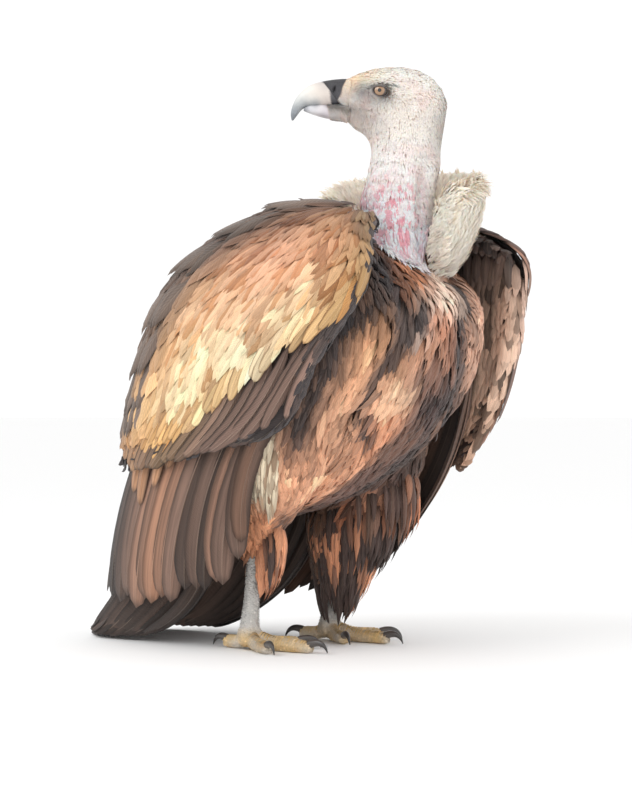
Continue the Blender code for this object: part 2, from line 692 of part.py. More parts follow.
def main():
    """Build every part, give each its clearance, and set the origin under the bird."""
    head_frame = frame_empty("head_frame", side_point(*HEAD_PLACE), HEAD_TURN)
    trunk = build_trunk()
    neck = build_neck()
    head = build_head(head_frame)
    cere = beak_piece("cere", CERE_ROWS, 5, "cere_skin", head_frame, 0.9)
    bill_upper = beak_piece("bill_upper", BILL_ROWS, 11, "bill_horn", head_frame, 0.9)
    bill_lower = beak_piece("bill_lower", LOWER_BILL_ROWS, 7, "bill_horn", head_frame, 0.9)
    eyes = [build_eye(side, head_frame) for side in SIDES]
    ruff = build_ruff()
    tail = build_strip("tail", TAIL_ROWS, 9, "flight_feathers")
    mantle = build_strip("mantle", MANTLE_ROWS, 7, "coverts")
    floor = floor_cutter()
    wings = {}
    legs = {}
    for side, sign in SIDES.items():
        arm = build_shell(f"wing_{side}_coverts", ARM_ROWS[side], sign, 11, 11, "coverts", drop_top=0.6)
        flight = build_shell(f"wing_{side}_secondaries", FLIGHT_ROWS[side], sign, 7, 9, "flight_feathers")
        tips = build_shell(f"wing_{side}_primaries", PRIMARY_ROWS, sign, 8, 7, "flight_feathers")
        wings[side] = (arm, flight, tips)
        foot, claws = build_foot(side, floor)
        legs[side] = (build_thigh(side), build_tarsus(side), foot, claws)

    shells = [piece for trio in wings.values() for piece in trio]
    thighs = [leg[0] for leg in legs.values()]
    arms = [trio[0] for trio in wings.values()]
    carve(trunk, *shells, tail, neck, *thighs)
    carve(mantle, *shells, trunk, neck)
    carve(ruff, trunk, neck, mantle, *arms)
    for arm, flight, tips in wings.values():
        carve(flight, arm)
        carve(tips, arm, flight)
    for thigh, tarsus, foot, claws in legs.values():
        carve(thigh, *shells, tarsus)
        carve(tarsus, foot)
        for claw in claws:
            carve(claw, foot)
    carve(neck, head)
    carve(head, *eyes, cere, bill_upper, bill_lower)
    carve(cere, bill_upper, bill_lower)
    carve(bill_lower, bill_upper)
    carve(tail, *[trio[1] for trio in wings.values()], *[trio[2] for trio in wings.values()])
    centre_on_floor()


clear_scene()
BIRD = new_collection(NAME)
CUTTERS = new_collection("cutters", hidden=True)
main()
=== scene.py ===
"""Looks of a life-size griffon vulture that stands with drooping wings and looks back over its shoulder.

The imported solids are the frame: their places give the head, the camera and the size.  One smooth skin takes
the place of the fleshy solids.  Vanes, locks and down lie over it as closed meshes, each laid along a curve
from its root on the skin, over the swell of the body, to its tip.  The bird's own sizes are written as
(left, forward, up) in metres, with forward running from tail to breast.
"""
from __future__ import annotations

import logging
import math
import sys
from collections.abc import Iterator
from dataclasses import dataclass, replace
from enum import Enum

import bmesh
import bpy
import numpy as np
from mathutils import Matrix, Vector
from mathutils.bvhtree import BVHTree

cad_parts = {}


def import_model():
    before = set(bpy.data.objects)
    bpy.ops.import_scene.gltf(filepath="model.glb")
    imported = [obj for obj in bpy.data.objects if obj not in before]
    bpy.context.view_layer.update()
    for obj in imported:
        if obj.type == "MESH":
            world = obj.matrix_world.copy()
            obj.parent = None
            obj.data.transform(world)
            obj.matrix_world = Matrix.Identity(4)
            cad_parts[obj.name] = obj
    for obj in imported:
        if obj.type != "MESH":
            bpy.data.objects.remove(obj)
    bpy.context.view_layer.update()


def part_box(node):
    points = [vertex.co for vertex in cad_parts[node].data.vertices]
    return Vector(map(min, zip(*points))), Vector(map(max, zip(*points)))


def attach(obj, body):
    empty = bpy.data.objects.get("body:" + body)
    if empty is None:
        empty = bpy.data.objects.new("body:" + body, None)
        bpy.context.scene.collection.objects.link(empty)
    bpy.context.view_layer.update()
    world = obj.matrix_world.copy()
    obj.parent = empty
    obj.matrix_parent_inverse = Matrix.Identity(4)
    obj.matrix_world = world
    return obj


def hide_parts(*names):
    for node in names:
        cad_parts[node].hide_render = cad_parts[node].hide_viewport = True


Array = np.ndarray
Socket = bpy.types.NodeSocket
LOG = logging.getLogger("griffon")

SIDES = {"right": -1.0, "left": 1.0}
SEED = 41
HEAD_TURN = math.radians(-144.0)
HEAD_PLACE = (-0.012, 0.139, 0.6525)       # between the eyes
EYE_RADIUS = 0.0125
EYE_SPREAD = 0.0172
EYE_UP = -0.0020
LID_LONG = 0.0084                          # half length of the opening of the lids
LID_UPPER = 0.0042
LID_LOWER = 0.0062
STANCE_HALF = 0.074
FEET_FORWARD = {"right": -0.004, "left": 0.006}
FLOOR_CLEAR = 0.0004                       # lowest place of any vane
PATCH = 0.0015                             # half width of a tuft's patch on its bake map
BODY = "root"


# ---------------------------------------------------------------- numbers
def unit(vectors: Array) -> Array:
    """Scale each vector of the last axis to length one."""
    return vectors / (np.linalg.norm(vectors, axis=-1, keepdims=True) + 1e-12)


def ease(low: float, high: float, value: Array) -> Array:
    """Rise from 0 at low to 1 at high along the cubic 3t^2 - 2t^3."""
    share = np.clip((np.asarray(value, float) - low) / (high - low), 0.0, 1.0)
    return share * share * (3.0 - 2.0 * share)


def linear(colour: tuple[int, int, int]) -> Array:
    """Turn a display colour of 0 to 255 into linear light."""
    value = np.array(colour, float) / 255.0
    return np.where(value <= 0.04045, value / 12.92, ((value + 0.055) / 1.055) ** 2.4)


def lattice_noise(points: Array, size: float, seed: int) -> Array:
    """Smooth noise of 0 to 1: random values on a cubic lattice, eased between its eight corners.

    Args:
        points: places, one per row.
        size: width of a lattice cell in metres.
        seed: picks the random values.

    Returns:
        One value per point.
    """
    grid = points / size + 1000.0
    base = np.floor(grid).astype(np.int64)
    part = grid - base
    part = part * part * (3.0 - 2.0 * part)
    total = np.zeros(len(points))
    for corner in range(8):
        step = np.array((corner & 1, corner >> 1 & 1, corner >> 2 & 1))
        cell = base + step
        mixed = (cell[:, 0] * 73856093) ^ (cell[:, 1] * 19349663) ^ (cell[:, 2] * 83492791) ^ (seed * 2654435)
        mixed = (mixed ^ (mixed >> 13)) * 1274126177 & 0x7FFFFFFF
        weight = np.prod(np.where(step, part, 1.0 - part), axis=1)
        total += weight * (mixed % 65521) / 65521.0
    return total


def read_rows(rows: Array, where: Array) -> Array:
    """Read a table at shares of 0 to 1 along a Catmull-Rom curve through its rows."""
    table = np.array(rows, dtype=float)
    last = len(table) - 1
    padded = np.vstack((2 * table[0] - table[1], table, 2 * table[-1] - table[-2]))
    place = np.clip(where, 0.0, 1.0) * last
    start = np.minimum(place.astype(int), last - 1)
    step = (place - start)[:, None]
    before, here, after, beyond = (padded[start + k] for k in range(4))
    return 0.5 * (
        2 * here
        + (after - before) * step
        + (2 * before - 5 * here + 4 * after - beyond) * step ** 2
        + (3 * here - before - 3 * after + beyond) * step ** 3
    )


@dataclass(frozen=True)
class Tone:
    """A colour that is strongest at one place and fades over a reach."""

    place: tuple[float, ...]
    reach: float
    colour: tuple[int, int, int]


def blend_tones(tones: tuple[Tone, ...], points: Array) -> Array:
    """Mix tones over points, each weighted by exp(-distance^2 / reach^2).

    Args:
        tones: the colours and where they belong.
        points: places in the same axes as the tones, one per row.

    Returns:
        Linear colours, one per point.
    """
    total = np.zeros((len(points), 3))
    weights = np.full(len(points), 1e-9)
    for tone in tones:
        distance = ((points - np.array(tone.place)) ** 2).sum(axis=1)
        weight = np.exp(-distance / tone.reach ** 2)
        total += weight[:, None] * linear(tone.colour)
        weights += weight
    return total / weights[:, None]


# ---------------------------------------------------------------- the frame
@dataclass(frozen=True)
class BirdFrame:
    """Turns the bird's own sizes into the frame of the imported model."""

    shift: Array

    @classmethod
    def from_eyes(cls) -> BirdFrame:
        """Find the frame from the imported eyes, whose middle lies at the head's place."""
        corners = np.array([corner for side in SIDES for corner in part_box(f"eye_{side}")])
        left, forward, up = HEAD_PLACE
        return cls(corners.mean(axis=0) - np.array((left, -forward, up + EYE_UP)))

    def at(self, left: Array, forward: Array, up: Array) -> Array:
        """Place of (left, forward, up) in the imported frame."""
        return np.stack(np.broadcast_arrays(left, -np.asarray(forward), up), axis=-1) + self.shift

    def read(self, points: Array) -> Array:
        """Give (left, forward, up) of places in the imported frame."""
        return (points - self.shift) * np.array((1.0, -1.0, 1.0))

    @property
    def sight(self) -> Array:
        """Direction in which the head looks."""
        return np.array((math.sin(HEAD_TURN), -math.cos(HEAD_TURN), 0.0))

    @property
    def beside(self) -> Array:
        """Direction from the right eye to the left eye."""
        return np.array((math.cos(HEAD_TURN), math.sin(HEAD_TURN), 0.0))

    def head_at(self, beside: Array, forward: Array, up: Array) -> Array:
        """Place of a head size (beside, forward of the eyes, up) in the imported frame."""
        middle = self.at(*HEAD_PLACE)
        parts = np.stack(np.broadcast_arrays(beside, forward, up), axis=-1)
        place = middle + parts[..., 0:1] * self.beside
        place = place + parts[..., 1:2] * self.sight
        return place + parts[..., 2:3] * (0, 0, 1)

    def head_read(self, points: Array) -> Array:
        """Give (beside, forward, up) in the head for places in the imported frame."""
        offset = points - self.at(*HEAD_PLACE)
        return np.stack((offset @ self.beside, offset @ self.sight, offset[..., 2]), axis=-1)


# ---------------------------------------------------------------- meshes
def fill_mesh(name: str, points: Array, corners: Array, totals: Array) -> bpy.types.Mesh:
    """Make a mesh from points and faces given as flat corner numbers and corners per face."""
    mesh = bpy.data.meshes.new(name)
    mesh.vertices.add(len(points))
    mesh.vertices.foreach_set("co", np.ascontiguousarray(points, np.float32).ravel())
    mesh.loops.add(len(corners))
    mesh.loops.foreach_set("vertex_index", corners.astype(np.int32))
    mesh.polygons.add(len(totals))
    starts = np.concatenate(([0], np.cumsum(totals)[:-1]))
    mesh.polygons.foreach_set("loop_start", starts.astype(np.int32))
    mesh.update(calc_edges=True)
    mesh.validate()
    mesh.shade_smooth()
    return mesh


def read_out(rows: bpy.types.bpy_prop_collection, field: str, width: int, kind: type = float) -> Array:
    """Copy a field of so many numbers per row into an array."""
    numbers = np.empty(len(rows) * width, kind)
    rows.foreach_get(field, numbers)
    return numbers.reshape(-1, width)


def paint(mesh: bpy.types.Mesh, name: str, colours: Array) -> None:
    """Store a colour with one row of three or four numbers per vertex."""
    rows = np.ones((len(colours), 4), np.float32)
    rows[:, : colours.shape[1]] = colours
    layer = mesh.color_attributes.new(name=name, type="FLOAT_COLOR", domain="POINT")
    layer.data.foreach_set("color", rows.ravel())


def add_map(mesh: bpy.types.Mesh, name: str, places: Array) -> None:
    """Store a UV map from one (u, v) row per vertex."""
    corners = read_out(mesh.loops, "vertex_index", 1, np.int32).ravel()
    layer = mesh.uv_layers.new(name=name)
    layer.uv.foreach_set("vector", places[corners].astype(np.float32).ravel())


def add_piece(
    mesh: bpy.types.Mesh, material: bpy.types.Material, replaced: tuple[str, ...] = ()
) -> bpy.types.Object:
    """Link a mesh as a piece that rides on the bird, and hide the solids that it stands for."""
    piece = bpy.data.objects.new(mesh.name, mesh)
    bpy.context.scene.collection.objects.link(piece)
    mesh.materials.clear()
    mesh.materials.append(material)
    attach(piece, BODY)
    if replaced:
        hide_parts(*replaced)
    sides = read_out(mesh.polygons, "loop_total", 1, np.int32)
    LOG.info("%s: %d triangles", mesh.name, int((sides - 2).sum()))
    return piece


def tube_mesh(name: str, rings: Array) -> bpy.types.Mesh:
    """Skin rows of rings, and close both ends with a fan to the middle of the end ring.

    Args:
        name: name of the mesh.
        rings: places, as (stations, points round, 3).

    Returns:
        A closed mesh whose vertex order is the rings, then the two poles.
    """
    stations, around = rings.shape[:2]
    poles = np.stack((rings[0].mean(axis=0), rings[-1].mean(axis=0)))
    points = np.vstack((rings.reshape(-1, 3), poles))
    k = np.arange(around)
    following = (k + 1) % around
    row = np.arange(stations - 1)[:, None] * around
    quads = np.stack((row + k, row + following, row + around + following, row + around + k), axis=-1)
    first, last = stations * around, stations * around + 1
    start = np.stack((np.full(around, first), following, k), axis=-1)
    final = (stations - 1) * around
    finish = np.stack((final + k, final + following, np.full(around, last)), axis=-1)
    corners = np.concatenate((quads.ravel(), start.ravel(), finish.ravel()))
    totals = np.concatenate((np.full(quads.size // 4, 4), np.full(2 * around, 3)))
    mesh = fill_mesh(name, points, corners, totals)
    shape = bmesh.new()
    shape.from_mesh(mesh)
    bmesh.ops.recalc_face_normals(shape, faces=shape.faces)
    shape.to_mesh(mesh)
    shape.free()
    return mesh


# ---------------------------------------------------------------- vanes
class Outline(Enum):
    """How the half width of a vane runs from root to tip."""

    ROUND = "round"
    LANCE = "lance"
    LOCK = "lock"
    FLIGHT = "flight"
    SCALE = "scale"
    COVERT = "covert"

    def width(self, share: Array) -> Array:
        """Half width as a share of the greatest, for shares of the length."""
        if self is Outline.ROUND:
            tip = np.clip((share - 0.62) / 0.38, 0.0, 1.0)
            return np.clip(share / 0.30, 0.0, 1.0) ** 0.5 * np.sqrt(1.0 - 0.98 * tip ** 2.4)
        if self is Outline.LANCE:
            return 1.62 * share ** 0.45 * (1.0 - share) ** 0.55
        if self is Outline.LOCK:
            return 1.50 * share ** 0.30 * (1.0 - share) ** 0.62
        if self is Outline.COVERT:
            tip = np.clip((share - 0.45) / 0.55, 0.0, 1.0)
            return np.clip(share / 0.25, 0.0, 1.0) ** 0.5 * (1.0 - 0.96 * tip ** 2.0)
        if self is Outline.SCALE:
            return np.sqrt(np.clip(1.0 - (2.0 * share - 1.0) ** 2, 0.02, 1.0))
        tip = np.clip((share - 0.80) / 0.20, 0.0, 1.0)
        return (0.42 + 0.58 * ease(0.0, 0.25, share)) * np.sqrt(1.0 - 0.97 * tip ** 2.2)


class Section(Enum):
    """Points round a vane's cross-section: share across, share of the thickness; the last lies beneath."""

    TUFT = ((-1.0, 0.0), (1.0, 0.0), (0.0, -1.0))
    LEAF = ((-1.0, 0.0), (0.0, 1.0), (1.0, 0.0), (0.0, -0.7))
    VANE = ((-1.0, 0.0), (-0.45, 0.9), (0.0, 1.3), (0.45, 0.9), (1.0, 0.0), (0.0, -0.7))
    BLADE = (
        (-1.0, 0.0), (-0.60, 0.75), (-0.10, 0.9), (0.0, 2.4),
        (0.10, 0.9), (0.60, 0.75), (1.0, 0.0), (0.0, -1.0),
    )


@dataclass(frozen=True)
class VaneForm:
    """Shape that a group of vanes shares."""

    outline: Outline
    section: Section
    rings: int
    thick: float
    camber: float = 0.15
    ragged: float = 0.05
    curl: float = 0.0
    ripple: float = 0.0
    sharp: bool = True


class Rows:
    """Group whose fields hold one row for each of its members."""

    def keep(self, which: Array) -> Rows:
        """The members that a mask or a list of numbers picks."""
        return type(self)(**{key: value[which] for key, value in self.__dict__.items()})

    @classmethod
    def join(cls, groups: list[Rows]) -> Rows:
        """All members of several groups."""
        fields = groups[0].__dict__
        return cls(**{key: np.concatenate([getattr(group, key) for group in groups]) for key in fields})


@dataclass
class Lay(Rows):
    """Where a group of vanes lies, with one row per vane."""

    root: Array
    middle: Array
    tip: Array
    normal: Array
    tip_normal: Array
    width: Array
    tint: Array
    rim: Array
    home: Array


def vane_faces(rings: int, around: int) -> tuple[Array, Array]:
    """Faces of one closed vane: a fan at each end and quads between, with those beneath first."""
    order = np.array([around - 2, around - 1] + list(range(around - 2)))
    following = (order + 1) % around
    row = (1 + np.arange(rings - 1) * around)[:, None]
    quads = np.stack((row + order, row + following, row + around + following, row + around + order), axis=-1)
    quads = quads.transpose(1, 0, 2).reshape(-1, 4)
    start = np.stack((np.zeros(around, int), 1 + following, 1 + order), axis=-1)
    final = 1 + (rings - 1) * around
    finish = np.stack((final + order, final + following, np.full(around, 1 + rings * around)), axis=-1)
    corners = np.concatenate((quads.ravel(), start.ravel(), finish.ravel()))
    totals = np.concatenate((np.full(len(quads), 4), np.full(2 * around, 3)))
    return corners, totals


def vane_points(form: VaneForm, lay: Lay, rng: np.random.Generator) -> tuple[Array, Array, Array]:
    """Work out every vane of a group at once.

    The middle line is the parabola through root, middle and tip.  Across it, a section point lies at
    half width * share across, and rises by thickness * share, less camber * half width * share^2.

    Args:
        form: the shared shape.
        lay: the places.
        rng: gives the ragged edge.

    Returns:
        Places as (vanes, points, 3), share along and share across of each point of one vane.
    """
    inner = np.linspace(0.0, 1.0, form.rings + 2)[1:-1] ** 0.9
    along = np.concatenate(([0.0], inner, [1.0]))
    count = len(lay.root)
    u = along[None, :, None]
    line = lay.root[:, None] * (2 * u - 1) * (u - 1) + lay.middle[:, None] * 4 * u * (1 - u)
    line = line + lay.tip[:, None] * u * (2 * u - 1)
    slope = lay.root[:, None] * (4 * u - 3) + lay.middle[:, None] * (4 - 8 * u)
    slope = slope + lay.tip[:, None] * (4 * u - 1)
    ahead = unit(slope)
    lift = lay.normal[:, None] * (1 - u) + lay.tip_normal[:, None] * u
    lift = unit(lift - ahead * (lift * ahead).sum(axis=-1, keepdims=True))
    across = np.cross(ahead, lift)
    share, height = np.array(form.section.value).T
    half = 0.5 * lay.width[:, None] * form.outline.width(along)[None]
    edge = 1.0 + form.ragged * rng.standard_normal((count, len(along), len(share))) * np.abs(share)
    half = half[:, :, None] * edge
    body = form.thick * np.sqrt(np.clip(4.0 * along * (1.0 - along), 0.06, 1.0))
    length = np.linalg.norm(lay.tip - lay.root, axis=1)[:, None, None]
    rise = body[None, :, None] * height - form.camber * half * share ** 2
    rise = rise + form.curl * length * along[None, :, None] ** 3
    wave = rng.uniform(0.0, 2 * math.pi, (count, 1, 1))
    rise = rise + form.ripple * half * np.abs(share) * np.sin(9.0 * u + wave + 2.0 * share)
    whole = line[:, :, None] + across[:, :, None] * (half * share)[..., None]
    whole = whole + lift[:, :, None] * rise[..., None]
    rings = whole[:, 1:-1].reshape(count, -1, 3)
    points = np.concatenate((line[:, :1], rings, line[:, -1:]), axis=1)
    points[..., 2] = np.maximum(points[..., 2], FLOOR_CLEAR)
    shares = np.concatenate(([0.0], np.repeat(inner, len(share)), [1.0]))
    sides = np.concatenate(([0.0], np.tile(share, form.rings), [0.0]))
    return points, shares, sides


def coat_piece(
    name: str,
    form: VaneForm,
    lay: Lay,
    material: bpy.types.Material,
    rng: np.random.Generator,
    replaced: tuple[str, ...] = (),
) -> bpy.types.Object:
    """Build one joined mesh of vanes, with its colours, its vane map and its bake map.

    Args:
        name: piece name.
        form: shared shape.
        lay: places and colours.
        material: finish.
        rng: random numbers of this piece.
        replaced: solids that the piece stands for.

    Returns:
        The piece.
    """
    points, along, across = vane_points(form, lay, rng)
    count, per = points.shape[:2]
    corners, totals = vane_faces(form.rings, len(form.section.value))
    shift = np.arange(count)[:, None] * per
    mesh = fill_mesh(name, points.reshape(-1, 3), (corners[None] + shift).ravel(), np.tile(totals, count))
    if form.sharp:
        mesh.set_sharp_from_angle(angle=math.radians(55.0))
    chance = rng.uniform(0.0, 1.0, count)
    tint = np.column_stack((lay.tint, chance))
    paint(mesh, "tint", np.repeat(tint, per, axis=0))
    paint(mesh, "rim", np.repeat(lay.rim, per, axis=0))
    vane = np.column_stack((along, 0.5 + 0.5 * across))
    add_map(mesh, "vane", np.tile(vane, (count, 1)))
    patch = np.column_stack((across, 2.0 * along - 1.0)) * PATCH
    home = np.clip(lay.home, 0.01, 0.99)
    add_map(mesh, "OFBake", (home[:, None] + patch[None]).reshape(-1, 2))
    LOG.info("%s: %d vanes", name, count)
    return add_piece(mesh, material, replaced)


# ---------------------------------------------------------------- finishes
class Graph:
    """Adds nodes to a tree and links their inputs in one call."""

    def __init__(self, tree: bpy.types.NodeTree) -> None:
        """Keep the tree that nodes are added to."""
        self.tree = tree

    def node(self, kind: str, inputs: dict | None = None, **settings: object) -> bpy.types.Node:
        """Add a node.

        Args:
            kind: node type after "ShaderNode".
            inputs: values or output sockets for its inputs, by name or number.
            settings: values for its own settings.

        Returns:
            The node.
        """
        made = self.tree.nodes.new(f"ShaderNode{kind}")
        for key, value in settings.items():
            setattr(made, key, value)
        self.feed(made, inputs or {})
        return made

    def feed(self, made: bpy.types.Node, inputs: dict) -> None:
        """Give a node's inputs their values, or link them to output sockets."""
        for key, value in inputs.items():
            if isinstance(value, bpy.types.NodeSocket):
                self.tree.links.new(value, made.inputs[key])
            else:
                made.inputs[key].default_value = value

    def math(self, operation: str, first: object, second: object = 0.0, clamp: bool = False) -> Socket:
        """Result of one sum on two numbers or sockets."""
        return self.node("Math", {0: first, 1: second}, operation=operation, use_clamp=clamp).outputs[0]

    def scaled(self, value: object, factor: float, offset: float) -> Socket:
        """The value times a factor, plus an offset."""
        return self.node("Math", {0: value, 1: factor, 2: offset}, operation="MULTIPLY_ADD").outputs[0]

    def stored(self, name: str) -> bpy.types.Node:
        """A colour that the mesh keeps."""
        return self.node("Attribute", attribute_name=name, attribute_type="GEOMETRY")

    def times(self, vector: object, factor: object) -> Socket:
        """A colour or a place times a factor."""
        return self.node("VectorMath", {0: vector, 3: factor}, operation="SCALE").outputs[0]

    def mix(self, share: object, first: object, second: object, blend: str = "MIX") -> Socket:
        """Mix two colours by a share."""
        made = self.node("Mix", {0: share, 6: first, 7: second}, data_type="RGBA", blend_type=blend)
        return made.outputs[2]

    def ramp(self, value: object, low: float, high: float) -> Socket:
        """Rise smoothly from 0 at low to 1 at high."""
        inputs = {"Value": value, "From Min": low, "From Max": high, "To Min": 0.0, "To Max": 1.0}
        return self.node("MapRange", inputs, interpolation_type="SMOOTHSTEP").outputs[0]

    def noise(self, vector: object, scale: float, detail: float = 3.0, rough: float = 0.55) -> Socket:
        """Noise of about 0 to 1 over a vector."""
        inputs = {"Vector": vector, "Scale": scale, "Detail": detail, "Roughness": rough}
        return self.node("TexNoise", inputs).outputs["Fac"]


def new_group(name: str, inputs: dict[str, str], outputs: dict[str, str]) -> tuple[bpy.types.NodeTree, Graph]:
    """Make a shader node group with named sockets, given as name to socket type."""
    tree = bpy.data.node_groups.new(name, "ShaderNodeTree")
    for label, kind in inputs.items():
        tree.interface.new_socket(label, in_out="INPUT", socket_type=f"NodeSocket{kind}")
    for label, kind in outputs.items():
        tree.interface.new_socket(label, in_out="OUTPUT", socket_type=f"NodeSocket{kind}")
    return tree, Graph(tree)


class Groups:
    """Effects that several finishes share, each built once."""

    def __init__(self) -> None:
        """Build the groups."""
        self.barbs = self.make_barbs()
        self.mottle = self.make_mottle()

    @staticmethod
    def make_barbs() -> bpy.types.NodeTree:
        """Slanted barbs on both sides of a shaft: a saw wave of along * count + distance from it * slant."""
        inputs = {"Along": "Float", "Across": "Float", "Count": "Float", "Slant": "Float", "Chance": "Float"}
        tree, graph = new_group("barb_lines", inputs, {"Height": "Float", "Edge": "Float", "Streak": "Float"})
        given = tree.nodes.new("NodeGroupInput")
        aside = graph.math("ABSOLUTE", graph.math("SUBTRACT", given.outputs["Across"], 0.5))
        slanted = graph.math("MULTIPLY", aside, given.outputs["Slant"])
        counted = graph.math("MULTIPLY", given.outputs["Along"], given.outputs["Count"])
        wave = graph.math("PINGPONG", graph.math("SUBTRACT", counted, slanted), 1.0)
        spread = graph.math("MULTIPLY", given.outputs["Chance"], 61.0)
        short = graph.math("MULTIPLY", given.outputs["Along"], 1.6)
        wide = graph.math("MULTIPLY", given.outputs["Across"], 7.0)
        vector = graph.node("CombineXYZ", {0: short, 1: wide, 2: spread}).outputs[0]
        streak = graph.noise(vector, 1.7, 4.0, 0.62)
        edge = graph.math("MULTIPLY", aside, 2.0)
        graph.feed(tree.nodes.new("NodeGroupOutput"), {"Height": wave, "Edge": edge, "Streak": streak})
        return tree

    @staticmethod
    def make_mottle() -> bpy.types.NodeTree:
        """Two sizes of noise over object places, for uneven colour and relief."""
        tree, graph = new_group("mottle", {"Size": "Float"}, {"Broad": "Float", "Fine": "Float"})
        given = tree.nodes.new("NodeGroupInput")
        place = graph.node("TexCoord").outputs["Object"]
        scaled = graph.times(place, given.outputs["Size"])
        noises = {"Broad": graph.noise(scaled, 1.0), "Fine": graph.noise(scaled, 7.0, 5.0, 0.6)}
        graph.feed(tree.nodes.new("NodeGroupOutput"), noises)
        return tree


def new_material(name: str) -> tuple[bpy.types.Material, Graph, bpy.types.Node]:
    """Make a node material and give its graph and its Principled shader."""
    made = bpy.data.materials.new(name)
    made.use_nodes = True
    graph = Graph(made.node_tree)
    return made, graph, made.node_tree.nodes["Principled BSDF"]


@dataclass(frozen=True)
class FeatherFinish:
    """Finish of vanes, from their stored colours and the maps along and across them."""

    name: str
    barbs: float = 46.0
    slant: float = 18.0
    rim_from: float = 0.62
    tip_from: float = 0.72
    shaft: float = 0.05
    shaft_light: float = 0.35
    streaks: float = 0.55
    # share of painted shade at the root of each vane, where the vanes over it shut out light
    root_dark: float = 0.45
    roughness: float = 0.72
    sheen: float = 0.18
    relief: float = 0.0005
    bleed: float = 0.0
    fray: float = 1.2

    def build(self, groups: Groups) -> bpy.types.Material:
        """Make the material."""
        made, graph, shader = new_material(self.name)
        tint = graph.stored("tint")
        rim = graph.stored("rim")
        place = graph.node("SeparateXYZ", {0: graph.node("UVMap", uv_map="vane").outputs[0]})
        along, across = place.outputs[0], place.outputs[1]
        inputs = {"Along": along, "Across": across, "Chance": tint.outputs["Alpha"]}
        inputs |= {"Count": self.barbs, "Slant": self.slant}
        barbs = graph.node("Group", inputs, node_tree=groups.barbs)
        edge = graph.ramp(barbs.outputs["Edge"], self.rim_from, 1.0)
        tip = graph.ramp(along, self.tip_from, 1.0)
        margin = graph.math("MAXIMUM", edge, tip, clamp=True)
        uneven = graph.scaled(barbs.outputs["Streak"], self.fray, 1.1 - self.fray)
        margin = graph.math("MULTIPLY", margin, uneven, clamp=True)
        colour = graph.mix(margin, tint.outputs["Color"], rim.outputs["Color"])
        streak = graph.scaled(barbs.outputs["Streak"], self.streaks * 2.0, 1.0 - self.streaks)
        lined = graph.scaled(barbs.outputs["Height"], 0.16, 0.92)
        bright = graph.math("MULTIPLY", streak, lined)
        # darker towards the root: painted shade under the overlapping vanes
        rooted = graph.scaled(graph.ramp(along, 0.0, 0.55), self.root_dark, 1.0 - self.root_dark)
        bright = graph.math("MULTIPLY", bright, rooted)
        colour = graph.times(colour, bright)
        beside = graph.ramp(barbs.outputs["Edge"], self.shaft * 0.4, self.shaft * 1.6)
        shaft = graph.math("SUBTRACT", 1.0, beside)
        shaft = graph.math("MULTIPLY", shaft, self.shaft_light)
        colour = graph.mix(shaft, colour, (0.62, 0.50, 0.38, 1.0))
        rough = graph.scaled(barbs.outputs["Streak"], 0.16, self.roughness - 0.08)
        bump = graph.node("Bump", {
            "Height": barbs.outputs["Height"], "Distance": self.relief, "Strength": 0.7,
        })
        graph.feed(shader, {
            "Base Color": colour, "Roughness": rough, "Normal": bump.outputs[0], "Sheen Weight": self.sheen,
            "Sheen Roughness": 0.5, "Specular IOR Level": 0.25, "Subsurface Weight": self.bleed,
            "Subsurface Scale": 0.003,
        })
        return made


@dataclass(frozen=True)
class HideFinish:
    """Finish of skin and horn, from a stored colour with mottling and fine relief."""

    name: str
    size: float = 60.0
    uneven: float = 0.25
    roughness: float = 0.6
    relief: float = 0.0006
    coat: float = 0.0
    bleed: float = 0.0
    cells: float = 0.0

    def build(self, groups: Groups) -> bpy.types.Material:
        """Make the material."""
        made, graph, shader = new_material(self.name)
        tint = graph.stored("tint")
        mottle = graph.node("Group", {"Size": self.size}, node_tree=groups.mottle)
        both = graph.math("ADD", mottle.outputs["Broad"], mottle.outputs["Fine"])
        bright = graph.scaled(both, self.uneven, 1.0 - self.uneven)
        height = mottle.outputs["Fine"]
        if self.cells:
            place = graph.node("TexCoord").outputs["Object"]
            inputs = {"Vector": place, "Scale": self.cells}
            cells = graph.node("TexVoronoi", inputs, feature="DISTANCE_TO_EDGE").outputs["Distance"]
            plate = graph.ramp(cells, 0.0, 0.16)
            height = graph.math("ADD", plate, graph.math("MULTIPLY", height, 0.35))
            shade = graph.scaled(plate, 0.45, 0.55)
            bright = graph.math("MULTIPLY", bright, shade)
        colour = graph.times(tint.outputs["Color"], bright)
        rough = graph.scaled(mottle.outputs["Fine"], 0.2, self.roughness - 0.1)
        bump = graph.node("Bump", {"Height": height, "Distance": self.relief, "Strength": 0.8})
        graph.feed(shader, {
            "Base Color": colour, "Roughness": rough, "Normal": bump.outputs[0], "Coat Weight": self.coat,
            "Coat Roughness": 0.25, "Subsurface Weight": self.bleed, "Subsurface Scale": 0.004,
        })
        return made


